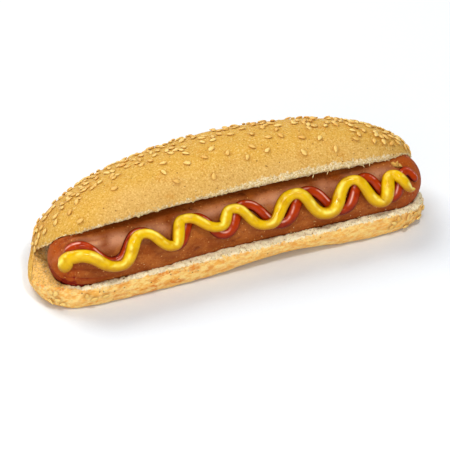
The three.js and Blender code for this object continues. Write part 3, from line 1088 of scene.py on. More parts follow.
@dataclass
class Roll:
    """The sliced roll: both halves in one piece, joined at the back."""

    sausage: Sausage
    base: LowerHalf = field(default_factory=LowerHalf)
    lid: Lid = field(default_factory=Lid)
    # The crease that the slice ends in, as depth and height.
    crease: tuple[float, float] = (7, 15.5)
    # The cut face of the lower half, as depth and height above the rim, from the rim inwards.
    slice: tuple[tuple[float, float], ...] = ((-30.4, -0.2), (-28, 0.4), (-12, 0.6), (4, 1.2))
    # How far the hollow stays off the sausage.
    clearance: float = 0.2
    stations: int = 300
    belly_points: int = 92
    slice_points: int = 46
    underside_points: int = 40
    crown_points: int = 108
    # How often the corners of each section are rounded off.
    roundings: int = 3
    # How far torn crumb shows above the lid's edge, at places along the roll.
    lid_band: tuple[tuple[float, float], ...] = (
        (-88, 0.3), (-60, 0.5), (-25, 0.7), (-12, 1.2), (-2, 1.9), (12, 2.7), (40, 3.0), (60, 2.5), (75, 1.6),
        (84, 0.7),
    )
    # How far the crust reaches in over the lower half's edge, and how much further at the left end.
    # Below 0, crumb shows outside the edge.
    rim_inset: float = -0.7
    end_inset: Step = Step(-70, -86, 3.5)
    # The distance inside the cut line is kept between these: all crust, and all crumb.
    cut_limits: tuple[float, float] = (-20, 3)
    # The whole roll's unevenness, and how much of it is lost deep inside.
    uneven: tuple[Lumps, ...] = (Lumps(0.55, 24, 3), Lumps(0.22, 8, 4))
    evened: Step = Step(1.5, 3, 0.5)
    # The crust's dimples and the crumb's crags, which change over at the cut line.
    dimples: Lumps = Lumps(0.1, 2.6, 5)
    crags: tuple[Lumps, ...] = (Lumps(0.3, 2.4, 6), Lumps(0.34, 1.2, 7))
    tear: Step = Step(-0.5, 0.4)
    # The lower half's wall is wrinkled along the roll, and nicked.
    wrinkles: Lumps = Lumps(0.26, 3.4, 13)
    nicks: Lumps = Lumps(0.12, 1.5, 14)
    # The torn edge is ragged up and down, most a little inside the cut line.
    ragged: tuple[Lumps, ...] = (Lumps(1.1, 2.6, 8), Lumps(1.1, 1.2, 9))
    fray: Hill = Hill(1.2, 1.6)
    # How far the lid is baked, by the share of the way over it and by x.
    lid_bake: Step = Step(0.03, 0.45, 0.5)
    lid_right_bake: Step = Step(50, 84, 0.12)
    lid_left_bake: Step = Step(-55, -88, 0.35)
    lid_clouds: Lumps = Lumps(0.12, 14, 10)
    # How far the lower half's wall is baked, and how much painted shade the crumb gets at the left end, by x.
    wall_bake: Hill = Hill(-38, 24, 0.64)
    wall_right_bake: Step = Step(72, 86, 0.4)
    crumb_shade: Step = Step(-74, -86)
    # How much painted shade the crust gets round a seed, and how far from its middle.
    seed_shade_amount: float = 0.42
    seed_shade_reach: float = 2.0
    grid: np.ndarray = field(init=False)
    normals: np.ndarray = field(init=False)
    piece: bpy.types.Object = field(init=False)

    def shares(self) -> np.ndarray:
        """The stations' places along the roll, closer together towards its ends."""
        even = np.linspace(-1, 1, self.stations + 2)[1:-1]
        return (even + (even - even**7) / 6)[:, None]

    def sections(self, share: np.ndarray) -> tuple[np.ndarray, np.ndarray, np.ndarray, np.ndarray]:
        """The four stretches of each section: belly, slice, the lid's underside and crown.

        Args:
            share: Places along the roll, from -1 at its left end to 1 at its right end.

        Returns:
            The four, each as shares by points by 3.
        """
        t = np.linspace(0, math.pi, 600)[None, :]
        belly = self.base.crust(share, t)
        crown = self.lid.crust(share, t)
        crease = self.lid.point(share, *self.crease, self.lid.front_power)
        stops = [belly[:, -1:]]
        for depth, height in self.slice:
            stops.append(self.base.point(share, np.full_like(share, depth), self.base.rim(share) + height))
        stops += [crease]
        sliced = np.concatenate(stops, axis=1)
        underside = np.concatenate([crease, crown[:, :1]], axis=1)
        return belly, sliced, underside, crown

    def counts(self) -> dict[str, int]:
        """How many points each stretch of the section gets.

        Returns:
            Counts by the stretch's name, in their order round the section.
        """
        return {
            "belly": self.belly_points,
            "slice": self.slice_points,
            "underside": self.underside_points,
            "crown": self.crown_points,
        }

    def spans(self) -> dict[str, slice]:
        """The columns that each stretch of the section takes.

        Returns:
            Columns by the stretch's name.
        """
        spans, start = {}, 0
        for name, count in self.counts().items():
            spans[name] = slice(start, start + count)
            start += count
        return spans

    def cut_distance(self, plain: np.ndarray) -> np.ndarray:
        """How far inside the torn crumb each point is, in millimetres; crust is below 0.

        Args:
            plain: The sections before they are hollowed, stations by points by 3.

        Returns:
            Distances, stations by points.
        """
        spans = self.spans()
        edge = plain[:, spans["crown"].start][:, None]
        rim = plain[:, spans["slice"].start][:, None]
        cut = np.full(plain.shape[:2], float(self.cut_limits[1]))
        band = np.interp(edge[..., 0], *zip(*self.lid_band))
        cut[:, spans["crown"]] = band - np.linalg.norm(plain[:, spans["crown"]] - edge, axis=2)
        inset = self.rim_inset + self.end_inset.at(rim[..., 0])
        cut[:, spans["belly"]] = -inset - np.linalg.norm(plain[:, spans["belly"]] - rim, axis=2)
        cut[:, spans["slice"]] = np.linalg.norm(plain[:, spans["slice"]] - rim, axis=2) - inset
        return np.clip(cut, *self.cut_limits)

    def build(self) -> bpy.types.Object:
        """Models the roll.

        Returns:
            The piece, with the attributes "cut", "bake" and "lower"; SesameSeeds adds "seeded".
        """
        curves = zip(self.sections(self.shares()), self.counts().values())
        plain = np.concatenate([even_points(curve, count) for curve, count in curves], axis=1)
        cut = self.cut_distance(plain)
        for _ in range(self.roundings):
            plain = (np.roll(plain, 1, axis=1) + 2 * plain + np.roll(plain, -1, axis=1)) / 4
        hollowed = self.sausage.pushed_out(plain, self.clearance)
        self.grid = self.roughened(hollowed, cut)
        self.grid[..., 2] = np.clip(self.grid[..., 2], 0, None)
        self.normals = normals_of(self.grid)
        ends = (self.grid[0].mean(axis=0), self.grid[-1].mean(axis=0))
        self.piece = wrapped_sphere("sliced_roll", self.grid, ends)
        paint(self.piece, "cut", cut, (-1, -1))
        paint(self.piece, "bake_and_shade", self.baking_and_shade(), (0.5, 0.5))
        paint(self.piece, "lower", self.lowerness(cut.shape), (0.5, 0.5))
        return self.piece

    def roughened(self, smooth_grid: np.ndarray, cut: np.ndarray) -> np.ndarray:
        """Gives the crust its unevenness and dimples, and tears the crumb open.

        Args:
            smooth_grid: The hollowed sections, stations by points by 3.
            cut: How far inside the torn crumb each point is.

        Returns:
            The sections as they are modelled.
        """
        torn = self.tear.at(cut)
        uneven = relief(smooth_grid, *self.uneven) * (1 - self.evened.at(cut))
        dimpled = relief(smooth_grid, self.dimples) * (1 - torn)
        height = uneven + dimpled + relief(smooth_grid, *self.crags) * torn
        # The wall's wrinkles are twice as long as they are high.
        drawn_out = smooth_grid * np.array([0.5, 1, 1])
        wrinkled = relief(drawn_out, self.wrinkles) + relief(smooth_grid, self.nicks)
        height += self.lowerness(cut.shape) * (1 - torn) * wrinkled
        rough = smooth_grid + normals_of(smooth_grid) * height[..., None]
        rough[..., 2] -= relief(smooth_grid, *self.ragged) * (self.fray.at(cut) * torn)
        # The crags may take up half of the clearance.
        return self.sausage.pushed_out(rough, self.clearance / 2)

    def baking_and_shade(self) -> np.ndarray:
        """How far each point is baked, and how much painted shade the crumb gets.

        The lid is pale by its cut edge, golden on the crown and amber at the ends; the lower half's wall
        is browned most left of the middle; the crumb gets painted shade at the left end alone.

        Returns:
            Numbers from 0 to 1, stations by points.
        """
        crown, belly = (self.spans()[name] for name in ("crown", "belly"))
        x = self.grid[..., 0]
        bake_and_shade = self.crumb_shade.at(x)
        bake_and_shade[:, crown] = 0.05 + self.lid_bake.at(np.linspace(0, 1, self.crown_points))
        bake_and_shade[:, crown] += self.lid_right_bake.at(x[:, crown]) + self.lid_left_bake.at(x[:, crown])
        bake_and_shade[:, crown] += relief(self.grid[:, crown], self.lid_clouds)
        bake_and_shade[:, belly] = 0.34 + self.wall_bake.at(x[:, belly]) + self.wall_right_bake.at(x[:, belly])
        return np.clip(bake_and_shade, 0, 1)

    def lowerness(self, shape: tuple[int, int]) -> np.ndarray:
        """1 on the lower half, 0 on the lid, blended at the back.

        Args:
            shape: How many stations and points.

        Returns:
            Numbers from 0 to 1 in that shape.
        """
        spans = self.spans()
        lower = np.zeros(shape)
        lower[:, spans["belly"]] = smooth(0.0, 0.16, np.linspace(0, 1, self.belly_points))[None, :]
        lower[:, spans["slice"]] = 1
        return lower

    def paint_seed_shade(self, seeds: list[np.ndarray]) -> None:
        """Stores how near each point is to a seed, as painted shade that darkens the crust round each seed.

        Args:
            seeds: Where the seeds stand.
        """
        tree = kdtree.KDTree(len(seeds))
        for number, seed in enumerate(seeds):
            tree.insert(seed, number)
        tree.balance()
        gap = np.array([tree.find(point)[2] for point in self.grid.reshape(-1, 3)])
        gap = gap.reshape(self.grid.shape[:2])
        # The sixth power keeps the painted shade even under a seed, and soft only round its rim.
        paint(self.piece, "seed_shade", self.seed_shade_amount * np.exp(-((gap / self.seed_shade_reach) ** 6)), (0, 0))

    def spot(self, row: float, column: float) -> tuple[np.ndarray, np.ndarray]:
        """A place on the finished crust.

        Args:
            row: Station, with its fraction.
            column: Point of the section, with its fraction.

        Returns:
            The point and the outward normal there.
        """
        i, j = int(row), int(column)
        u, v = row - i, column - j
        k, m = min(i + 1, self.stations - 1), (j + 1) % self.grid.shape[1]
        weights = ((i, j, (1 - u) * (1 - v)), (k, j, u * (1 - v)), (i, m, (1 - u) * v), (k, m, u * v))
        point = sum(self.grid[a, b] * w for a, b, w in weights)
        out = sum(self.normals[a, b] * w for a, b, w in weights)
        return point, out / np.linalg.norm(out)


# ---------- small things strewn over it ----------


class Grain(Enum):
    """The shapes that small things start from."""

    SEED = "tear-shaped"
    CRUMB = "round"


def small_shape(kind: Grain, rings: int, sides: int) -> tuple[np.ndarray, np.ndarray]:
    """Models one small thing from a sphere and gives its vertices and its triangles.

    Args:
        kind: Whether it is narrowed to a seed or left a plain ball.
        rings: Rings of the sphere.
        sides: Sides of the sphere.

    Returns:
        Vertices by 3, along X and 2 long, and triangles by 3.
    """
    deselect_all()
    upright = (0, math.pi / 2, 0)
    bpy.ops.mesh.primitive_uv_sphere_add(segments=sides, ring_count=rings, radius=1, rotation=upright)
    start = bpy.context.object
    bpy.ops.object.transform_apply(location=False, rotation=True, scale=False)
    bpy.ops.object.mode_set(mode="EDIT")
    bpy.ops.mesh.select_all(action="SELECT")
    bpy.ops.mesh.quads_convert_to_tris()
    bpy.ops.object.mode_set(mode="OBJECT")
    mesh = start.data
    points = np.array([v.co for v in mesh.vertices])
    faces = np.array([p.vertices for p in mesh.polygons])
    bpy.data.objects.remove(start)
    if kind is Grain.SEED:
        narrow = 1 - 0.38 * smooth(-0.3, 1.0, points[:, 0])
        points[:, 1:] *= np.stack([narrow, 0.6 + 0.4 * narrow], -1)
    return points, faces


def strewn(
    name: str, placed: list[np.ndarray], faces: np.ndarray, toast: list[float]
) -> bpy.types.Object:
    """Joins placed copies of one small shape into one piece.

    Args:
        name: The piece's name.
        placed: Each copy's vertices, in millimetres.
        faces: The triangles that every copy has.
        toast: How toasted each copy is, from 0 to 1.

    Returns:
        The piece, smooth shaded, at the origin, with the attribute "toast".
    """
    count = len(placed[0])
    points = np.concatenate(placed) * MM
    joined = np.concatenate([faces + k * count for k in range(len(placed))])
    mesh = bpy.data.meshes.new(name)
    mesh.from_pydata(points.tolist(), [], joined.tolist())
    piece = bpy.data.objects.new(name, mesh)
    bpy.context.scene.collection.objects.link(piece)
    layer = finished(piece).data.attributes.new("toast", "FLOAT", "POINT")
    layer.data.foreach_set("value", np.repeat(toast, count).astype(np.float32))
    return piece


def turned(points: np.ndarray, out: np.ndarray, spin: float) -> np.ndarray:
    """Lays a shape on a surface: its Z along the surface's normal, its X turned by spin about it.

    Args:
        points: The shape's vertices.
        out: The surface's unit normal.
        spin: An angle in radians.

    Returns:
        The turned vertices.
    """
    guide = np.array([1.0, 0, 0]) if abs(out[0]) < 0.9 else np.array([0, 1.0, 0])
    aside = np.cross(out, guide)
    aside /= np.linalg.norm(aside)
    ahead = np.cross(aside, out)
    x_axis = ahead * math.cos(spin) + aside * math.sin(spin)
    y_axis = np.cross(out, x_axis)
    return points @ np.stack([x_axis, y_axis, out])


@dataclass
class SesameSeeds:
    """Sesame seeds stuck to the crust: thick along the crown, a patch at its right end, single ones below."""

    roll: Roll
    single_count: int = 27
    lid_count: int = 300
    base_count: int = 17
    length: float = 3.3
    width: float = 2.1
    thick: float = 1.0
    sunk: float = 0.08
    # How much the seeds differ: in size, in width alone, in how askew they lie and in their toasting.
    sizes: tuple[float, float] = (0.86, 1.1)
    widths: tuple[float, float] = (0.9, 1.08)
    askew: float = 0.12
    toasting_power: float = 1.5
    spacing: float = 2.3
    single_spacing: float = 5.5
    # Where they lie on the lid by x, and by the share of the way over it from its edge to the back.
    left_half: Step = Step(-8, -35, 0.16)
    flank: Step = Step(0.14, 0.26)
    crest: Step = Step(0.3, 0.4, 0.7)
    left_tip: Step = Step(-62, -72)
    right_end: Step = Step(54, 60)
    right_end_from: Step = Step(0.1, 0.16)
    back: Step = Step(0.68, 0.95)
    # Where the single ones lie, in the same way.
    singles_from: Step = Step(0.04, 0.1)
    singles_to: Step = Step(0.26, 0.34)
    singles_middle: Hill = Hill(20, 24, 0.75)
    singles_left: Step = Step(-60, -75, 0.5)
    # The lower half's front corners: heights, depth, and where the left one ends and the right one starts.
    corner_heights: tuple[float, float] = (3.5, 9.5)
    corner_depth: float = -22
    corner_ends: tuple[float, float] = (-64, 66)
    seed_of_draw: int = 21

    def lid_density(self, point: np.ndarray, over: float) -> float:
        """How thickly seeds lie on the lid, from 0 to 1, at a point and its share of the way over.

        Args:
            point: A point of the crust.
            over: Its share of the way over the lid.

        Returns:
            The chance that a seed there stays.
        """
        x = point[0]
        tip = self.left_tip.at(x)
        along = self.left_half.at(x) * self.flank.at(over) * (1 - 0.5 * tip)
        along += self.crest.at(over) * (1 - 0.8 * tip)
        along += self.right_end.at(x) * self.right_end_from.at(over)
        return float((1 - self.back.at(over)) * min(1.0, along))

    def base_density(self, point: np.ndarray, _: float) -> float:
        """How thickly seeds lie on the lower half: only on its two front corners.

        Args:
            point: A point of the crust.
            _: Its share of the way round the belly, which makes no difference here.

        Returns:
            The chance that a seed there stays.
        """
        low, high = self.corner_heights
        left, right = self.corner_ends
        inside = low < point[2] < high and point[1] < self.corner_depth
        return float(inside and (0.6 * (point[0] < left) + (point[0] > right)))

    def single_density(self, point: np.ndarray, over: float) -> float:
        """How thickly single seeds lie low on the lid: most right of its middle, some at the left end.

        Args:
            point: A point of the crust.
            over: Its share of the way over the lid.

        Returns:
            The chance that a seed there stays.
        """
        low = self.singles_from.at(over) * (1 - self.singles_to.at(over))
        along = 0.25 + self.singles_middle.at(point[0]) + self.singles_left.at(point[0])
        return float(low * along)

    def build(self) -> bpy.types.Object:
        """Scatters the seeds.

        Returns:
            The piece, with the attribute "toast".
        """
        draw = random.Random(self.seed_of_draw)
        shape, faces = small_shape(Grain.SEED, 7, 9)
        crown, belly = (self.roll.spans()[name] for name in ("crown", "belly"))
        spots = []

        def scatter(
            count: int, span: slice, spacing: float, density: Callable[[np.ndarray, float], float]
        ) -> None:
            """Adds seeds to one stretch of the crust, each this far from the others.

            Args:
                count: How many to add.
                span: The stretch's columns.
                spacing: The least distance between two seeds.
                density: The chance that one stays, by its point and its share of the way over.
            """
            wanted = len(spots) + count
            while len(spots) < wanted:
                row = draw.uniform(1, self.roll.stations - 2)
                along = draw.random()
                keep = draw.random()
                point, out = self.roll.spot(row, span.start + along * (span.stop - span.start - 1))
                if keep > density(point, along):
                    continue
                if any(np.linalg.norm(point - other) < spacing for other, _, _ in spots):
                    continue
                spots.append((point, out, draw.uniform(0, 2 * math.pi)))

        scatter(self.single_count, crown, self.single_spacing, self.single_density)
        scatter(self.lid_count, crown, self.spacing, self.lid_density)
        scatter(self.base_count, belly, self.spacing, self.base_density)
        placed, toast = [], []
        for point, out, spin in spots:
            size = draw.uniform(*self.sizes)
            half = np.array([self.length, self.width * draw.uniform(*self.widths), self.thick]) * size / 2
            tilt = out + np.array([draw.gauss(0, self.askew) for _ in range(3)])
            tilt /= np.linalg.norm(tilt)
            seed = turned(shape * half, tilt, spin)
            placed.append(seed + point + out * (self.thick / 2 - self.sunk) * size)
            toast.append(draw.random() ** self.toasting_power)
        self.roll.paint_seed_shade([point for point, _, _ in spots])
        return strewn("sesame_seeds", placed, faces, toast)


@dataclass
class Crumbs:
    """Crumbs that cling to the torn edges, shreds that hang from the lid and one lump on the sausage."""

    roll: Roll
    sausage: Sausage
    # The torn edges: the stretch of the section that starts there, its crumbs, and how many points
    # along it they lie and stray.
    edges: tuple[tuple[str, int, float, float], ...] = (("crown", 620, 0.6, 1.6), ("slice", 380, 1.5, 2.2))
    # A crumb's radius as a logarithm: its middle and its spread.
    log_radius: tuple[float, float] = (-1.75, 0.4)
    # A ball becomes a crumb by dents, as a share of its radius and by how close they are, and by
    # squeezing it along three directions.
    dents: tuple[float, float] = (0.9, 1.4)
    squeeze: tuple[tuple[float, float], ...] = ((0.9, 1.8), (0.5, 1.0), (0.5, 1.0))
    # Crumbs strayed onto the sausage: how many, between which x, degrees up its front and radii.
    stray_count: int = 34
    stray_x: tuple[float, float] = (-70, 80)
    stray_degrees: tuple[float, float] = (-32, 4)
    stray_radii: tuple[float, float] = (0.14, 0.3)
    # Shreds that hang from the lid: x and length of each, and how thick they are to both sides.
    shreds: tuple[tuple[float, float], ...] = (
        (34, 2.6), (40.5, 2.2), (57, 1.8), (60, 2.0), (8, 1.4), (-38, 1.2),
    )
    strand: float = 0.22
    # The lump: its x, degrees up the sausage's front and size, how it is moved from there, the sizes of
    # its crumbs as shares of its own, and how far they stray.
    lump: tuple[float, float, float] = (73.5, 60, 2.8)
    lump_shift: tuple[float, float, float] = (0, -0.3, 0.8)
    lump_crumbs: tuple[float, ...] = (0.6, 0.5, 0.45, 0.4, 0.3)
    lump_spread: tuple[float, float, float] = (0.8, 0.4, 0.3)
    seed_of_draw: int = 5

    def crushed(self, ball: np.ndarray, draw: random.Random) -> np.ndarray:
        """A crumb: the ball squeezed and dented at random.

        Args:
            ball: The ball's vertices.
            draw: Where the chance comes from.

        Returns:
            The crumb's vertices, about 1 in radius.
        """
        depth, closeness = self.dents
        offset = Vector((draw.uniform(0, 50), 0, 0))
        dents = np.array([noise.noise(Vector(p * closeness) + offset) for p in ball])
        squeeze = np.array([draw.uniform(*span) for span in self.squeeze])
        out = np.array([draw.gauss(0, 1) for _ in range(3)])
        out /= np.linalg.norm(out)
        return turned(ball * (1 + depth * dents)[:, None] * squeeze, out, draw.uniform(0, math.pi))

    def build(self) -> bpy.types.Object:
        """Scatters crumbs, shreds and the lump.

        Returns:
            All of them as one piece, with the attribute "toast".
        """
        draw = random.Random(self.seed_of_draw)
        ball, faces = small_shape(Grain.CRUMB, 5, 7)
        placed = []
        for stretch, count, middle, spread in self.edges:
            start = self.roll.spans()[stretch].start
            for _ in range(count):
                row = draw.uniform(6, self.roll.stations - 7)
                point, out = self.roll.spot(row, start + draw.gauss(middle, spread))
                radius = draw.lognormvariate(*self.log_radius)
                placed.append(self.crushed(ball, draw) * radius + point + out * radius * 0.2)
        for x, length in self.shreds:
            placed.append(self.shred(ball, x, length, draw))
        for _ in range(self.stray_count):
            x, degrees = draw.uniform(*self.stray_x), draw.uniform(*self.stray_degrees)
            spot = self.sausage.spot(np.array(x), np.array(degrees))
            placed.append(self.crushed(ball, draw) * draw.uniform(*self.stray_radii) + spot)
        pale = len(placed)
        x, degrees, size = self.lump
        spot = self.sausage.spot(np.array(x), np.array(degrees)) + np.array(self.lump_shift)
        for share in self.lump_crumbs:
            shift = np.array([draw.gauss(0, spread) for spread in self.lump_spread])
            placed.append(self.crushed(ball, draw) * size * share + spot + shift)
        toast = [0.0] * pale + [1.0] * len(self.lump_crumbs)
        return strewn("bread_crumbs", placed, faces, toast)

    def shred(self, ball: np.ndarray, x: float, length: float, draw: random.Random) -> np.ndarray:
        """A shred of crumb hanging from the lid's edge, bent a little to one side.

        Args:
            ball: The ball's vertices.
            x: Where it hangs.
            length: How long it is.
            draw: Where the chance comes from.

        Returns:
            The shred's vertices.
        """
        edge = self.roll.grid[:, self.roll.spans()["crown"].start]
        row = int(np.argmin(np.abs(edge[:, 0] - x)))
        strand = ball * np.array([length / 2, self.strand, self.strand])
        bend = draw.uniform(-0.25, 0.25)
        along = strand[:, 0] + length / 2
        hang = np.stack([bend * along**1.5 + strand[:, 1], -0.25 * along + strand[:, 2], -along * 0.9], -1)
        return hang + edge[row] + np.array([0, -0.2, 0.4])


# ---------- the sauces ----------


@dataclass(frozen=True)
class Wave:
    """A bead of sauce piped along the sausage from side to side.

    Each turn says how far along the sausage it is, how many degrees up from its front, and how wide
    the bead is there.
    """

    name: str
    turns: tuple[tuple[float, float, float], ...]
    rise: float
    flat: float
    # How much wider the bead is half way up to a turn, and half way down to one.
    swell: tuple[float, float]
    # Over how many millimetres the bead swells at its start and shrinks at its end.
    ends: tuple[float, float]
    # How far up its flanks the bead gets painted shade, as the heights where that is full and where it ends.
    rim: tuple[float, float]
    # How far round the bead its painted highlight reaches, in radians.
    painted_highlight: float
    # How far up the bead goes where it crosses another, and how far it starts to rise from there.
    over: float = 0.0
    hump: float = 4.5
    # How far into the sausage's skin it lies.
    sink: float = 0.25
    # How far the bead runs on level from each turn, as a share of the way to the next.
    handle: float = 0.5
    # How uneven its width is, as a share of it.
    uneven: tuple[Lumps, ...] = (Lumps(0.05, 5, 12), Lumps(0.03, 1.4, 15))
    # Where the painted highlight's middle is round the bead, in radians, and the lumps that break it up.
    highlight_at: float = 2.0
    breaks: tuple[Lumps, ...] = (Lumps(1.6, 4, 18), Lumps(1.0, 1.5, 19))
    sides: int = 44
    steps_per_turn: int = 26

    def at(self, share: np.ndarray) -> np.ndarray:
        """The x, degrees and width at a share of the way along, level at each turn.

        Args:
            share: Places along the bead, from 0 at its start to 1 at its end.

        Returns:
            Places by 3.
        """
        turns = np.array(self.turns)
        place = np.minimum(share, 1 - 1e-9) * (len(turns) - 1)
        here = np.floor(place).astype(int)
        t = place - here
        ease = t * t * (3 - 2 * t)
        drift = 3 * t * (1 - t) ** 2 * self.handle + 3 * t * t * (1 - t) * (1 - self.handle) + t**3
        part = np.stack([drift, ease, ease], -1)
        bead = turns[here] + (turns[here + 1] - turns[here]) * part
        wider = np.where(turns[here + 1, 1] > turns[here, 1], *self.swell)
        bead[..., 2] *= 1 + wider * 4 * t * (1 - t)
        return bead

    def lift(self, sausage: Sausage, under: "Wave | None", x: np.ndarray, degrees: np.ndarray) -> np.ndarray:
        """How high the bead's middle is over the skin, higher where it crosses another wave.

        Args:
            sausage: What the bead lies on.
            under: The wave that it crosses, if there is one.
            x: Its middle line's x.
            degrees: Its middle line's angles up from the sausage's front.

        Returns:
            Heights, in the shape of x.
        """
        height = np.full_like(x, self.rise)
        if under:
            per_degree = math.radians(1) * sausage.radius
            other = under.at(np.linspace(0, 1, 600))
            gap = np.hypot(x[:, None] - other[:, 0], (degrees[:, None] - other[:, 1]) * per_degree)
            height += Hill(0, self.hump, self.over).at(gap.min(axis=1))
        return height

    def build(self, sausage: Sausage, under: "Wave | None" = None) -> bpy.types.Object:
        """Models the bead.

        Args:
            sausage: What it lies on.
            under: The wave it crosses, if there is one.

        Returns:
            The piece, its underside just in the skin.
        """
        count = (len(self.turns) - 1) * self.steps_per_turn
        x, degrees, width = self.at(np.linspace(0, 1, count)).T
        up = sausage.upright(x, degrees)
        line = sausage.spot(x, degrees) + up * self.lift(sausage, under, x, degrees)[:, None]
        along = np.gradient(line, axis=0)
        along /= np.linalg.norm(along, axis=1, keepdims=True)
        aside = np.cross(along, up)
        aside /= np.linalg.norm(aside, axis=1, keepdims=True)
        travelled = np.concatenate([[0], np.cumsum(np.linalg.norm(np.diff(line, axis=0), axis=1))])
        drawn_in = np.minimum(travelled / self.ends[0], (travelled[-1] - travelled) / self.ends[1])
        reach = width / 2 * np.sqrt(1 - (1 - np.clip(drawn_in, 0.02, 1)) ** 2)
        reach *= 1 + relief(line, *self.uneven)
        angle = 2 * math.pi * np.arange(self.sides)[None, :] / self.sides
        rings = line[:, None] + aside[:, None] * (reach[:, None] * np.cos(angle))[..., None]
        rings = rings + up[:, None] * (reach[:, None] * self.flat * np.sin(angle))[..., None]
        rings = sausage.pushed_out(rings, -self.sink)
        piece = wrapped_sphere(self.name, rings, (rings[0].mean(axis=0), rings[-1].mean(axis=0)))
        # Painted shade: darker where the bead faces down, and at both its edges.
        facing = normals_of(rings)[..., 2]
        flank = np.maximum(0.8 * smooth(0.5, -0.5, facing), smooth(self.rim[1], self.rim[0], np.sin(angle)))
        paint(piece, "flank", flank, (0.3, 0.3))
        # A painted highlight along the upper side of the bead, broken into patches.
        broken = np.clip(0.4 + relief(rings, *self.breaks), 0, 0.95)
        paint(piece, "crest", broken * Hill(self.highlight_at, self.painted_highlight).at(angle), (0, 0))
        return piece


# The turns of both waves: x, degrees up the sausage's front, and width.
KETCHUP_TURNS = (
    (-80.5, 55, 4.6), (-76.5, 57, 4.9), (-60.8, 15.5, 4.9), (-47.8, 54.5, 4.8), (-32.5, 15, 4.5),
    (-22.3, 53.5, 4.4), (-9.4, 13, 5.2), (1, 53.5, 4.8), (16.7, 8, 5.4), (30, 51.5, 4.9),
    (44.6, 6, 5.4), (56.8, 51.5, 4.7), (67.6, 7, 5), (75.6, 47, 4.4), (80.6, 30, 4.5),
)
MUSTARD_TURNS = (
    (-82.9, 26.5, 6.2), (-78.4, 39.5, 5.8), (-59.6, 11.8, 4.9), (-47.7, 48.6, 4.5),
    (-34.2, 20.5, 4.6), (-28.3, 53.3, 4.4), (-11.7, 28.4, 4.3), (-5.7, 49.3, 4.3), (8.8, 14.7, 4.4),
    (23.4, 50, 4.9), (36.3, 10.5, 5.3), (50.2, 50.5, 4.3), (62, 8.5, 5.2), (68.4, 44, 4.9),
    (77.3, 13.5, 3.9),
)


# ---------- the studio ----------


@dataclass(frozen=True)
class SoftBox:
    """A square soft light, aimed at the roll: its place and its side in metres, its power in watts."""

    name: str
    place: tuple[float, float, float]
    side: float
    power: float
    aim: tuple[float, float, float] = (0, 0, 0.02)

    def hang(self) -> None:
        """Hangs the light."""
        data = bpy.data.lights.new(self.name, "AREA")
        data.shape, data.size, data.energy = "SQUARE", self.side, self.power
        light = bpy.data.objects.new(self.name, data)
        light.location = self.place
        towards = Vector(self.aim) - light.location
        light.rotation_euler = towards.to_track_quat("-Z", "Y").to_euler()
        light.visible_camera = False
        bpy.context.scene.collection.objects.link(light)


@dataclass(frozen=True)
class Studio:
    """A white table-top set: paper floor, soft lights all round from above, and the camera."""

    camera_turn: float = -22.2
    camera_tilt: float = 35.0
    frame_width: float = 193.5
    lens: float = 1000.0
    sensor: float = 36.0
    # The middle of the picture, right and up of the roll's origin as the camera sees it.
    aim: tuple[float, float] = (1.89, 4.39)
    lights: tuple[SoftBox, ...] = (
        SoftBox("key_light", (0.0, -0.5, 0.97), 0.18, 4.4),
        SoftBox("back_light", (-0.3, 0.65, 1.0), 0.8, 10.8),
        SoftBox("low_fill", (-0.55, -1.08, 0.35), 1.4, 10.6),
    )
    sky: float = 0.38
    sky_colour: str = "#eef4ff"
    # The paper's side, in metres.
    paper: float = 6

    def build(self) -> None:
        """Makes the floor, the lights, the world and the camera."""
        self.floor()
        for light in self.lights:
            light.hang()
        world = bpy.data.worlds.new("white_room")
        world.use_nodes = True
        background = world.node_tree.nodes["Background"]
        background.inputs["Color"].default_value = linear(self.sky_colour)
        background.inputs["Strength"].default_value = self.sky
        bpy.context.scene.world = world
        bpy.context.scene.view_settings.view_transform = "Standard"
        self.camera()

    def floor(self) -> None:
        """Lays the paper."""
        deselect_all()
        bpy.ops.mesh.primitive_plane_add(size=self.paper)
        floor = bpy.context.object
        floor.name = "paper_floor"
        floor.data.materials.append(PalePaper().make())

    def camera(self) -> None:
        """Sets the camera on a long lens, so that the ends of the roll keep their size."""
        data = bpy.data.cameras.new("camera")
        data.lens, data.sensor_width = self.lens, self.sensor
        turn, tilt = math.radians(self.camera_turn), math.radians(self.camera_tilt)
        back = Vector((math.sin(turn) * math.cos(tilt), -math.cos(turn) * math.cos(tilt), math.sin(tilt)))
        right = Vector((math.cos(turn), math.sin(turn), 0))
        up = back.cross(right)
        distance = self.frame_width * MM * self.lens / self.sensor
        camera = bpy.data.objects.new("camera", data)
        camera.location = right * self.aim[0] * MM + up * self.aim[1] * MM + back * distance
        camera.rotation_euler = (-back).to_track_quat("-Z", "Y").to_euler()
        data.clip_start, data.clip_end = 0.1, 3 * distance
        bpy.context.scene.collection.objects.link(camera)
        bpy.context.scene.camera = camera


# ---------- assembly ----------


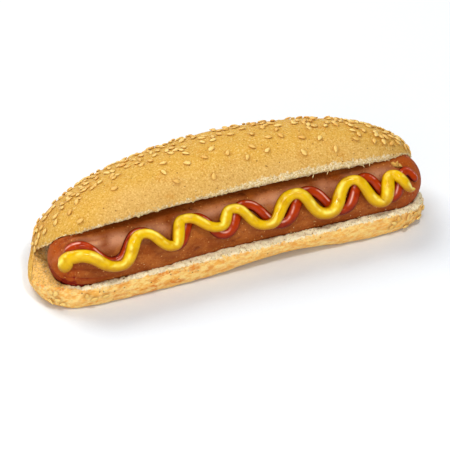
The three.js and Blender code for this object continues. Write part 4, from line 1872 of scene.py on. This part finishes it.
def dress(piece: bpy.types.Object, material: bpy.types.Material, slot: Slot, *nodes: str) -> None:
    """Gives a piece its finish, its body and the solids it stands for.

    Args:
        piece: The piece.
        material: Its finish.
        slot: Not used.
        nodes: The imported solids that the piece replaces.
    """
    piece.data.materials.clear()
    piece.data.materials.append(material)
    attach(piece, "root")
    if nodes:
        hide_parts(*nodes)
    LOG.info("%s: %d faces", piece.name, len(piece.data.polygons))


def main() -> None:
    """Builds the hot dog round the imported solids, and the studio round the hot dog."""
    logging.basicConfig(level=logging.INFO, format="%(name)s %(message)s")
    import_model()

    sausage = Sausage()
    roll = Roll(sausage)
    dress(sausage.build(), CookedSkin().make(), Slot.SAUSAGE, "sausage")
    dress(roll.build(), Bread().make(), Slot.CRUST, "roll")
    dress(SesameSeeds(roll).build(), HulledSesame().make(), Slot.SESAME)
    dress(Crumbs(roll, sausage).build(), TornCrumb().make(), Slot.CRUMB)

    ketchup = Wave(
        "ketchup_wave", KETCHUP_TURNS, rise=0.8, flat=0.66,
        swell=(0.05, -0.12), ends=(2.5, 2.5), rim=(0.25, 0.8), painted_highlight=0.13,
    )
    mustard = Wave(
        "mustard_wave", MUSTARD_TURNS, rise=1.9, flat=0.8,
        swell=(0.25, 0.05), ends=(3, 8), rim=(0.05, 0.7), painted_highlight=0.28, over=2,
    )
    # For each sauce the flank colour is painted shade and the streak colour a painted highlight.
    red = WetSauce(
        "tomato_ketchup", colour="#ac3400", deep="#982800", flank="#500400", painted_highlight="#f2b4a0",
        roughness=0.12, gloss=0.12, glow=(1.0, 0.15, 0.04),
    )
    yellow = WetSauce(
        "yellow_mustard", colour="#deb000", deep="#d09c00", flank="#985600", painted_highlight="#fae668",
        roughness=0.14, gloss=0.16, glow=(1.0, 0.65, 0.08),
    )
    dress(ketchup.build(sausage), red.make(), Slot.KETCHUP, "ketchup")
    dress(mustard.build(sausage, ketchup), yellow.make(), Slot.MUSTARD, "mustard")

    Studio().build()


if __name__ == "__main__":
    main()
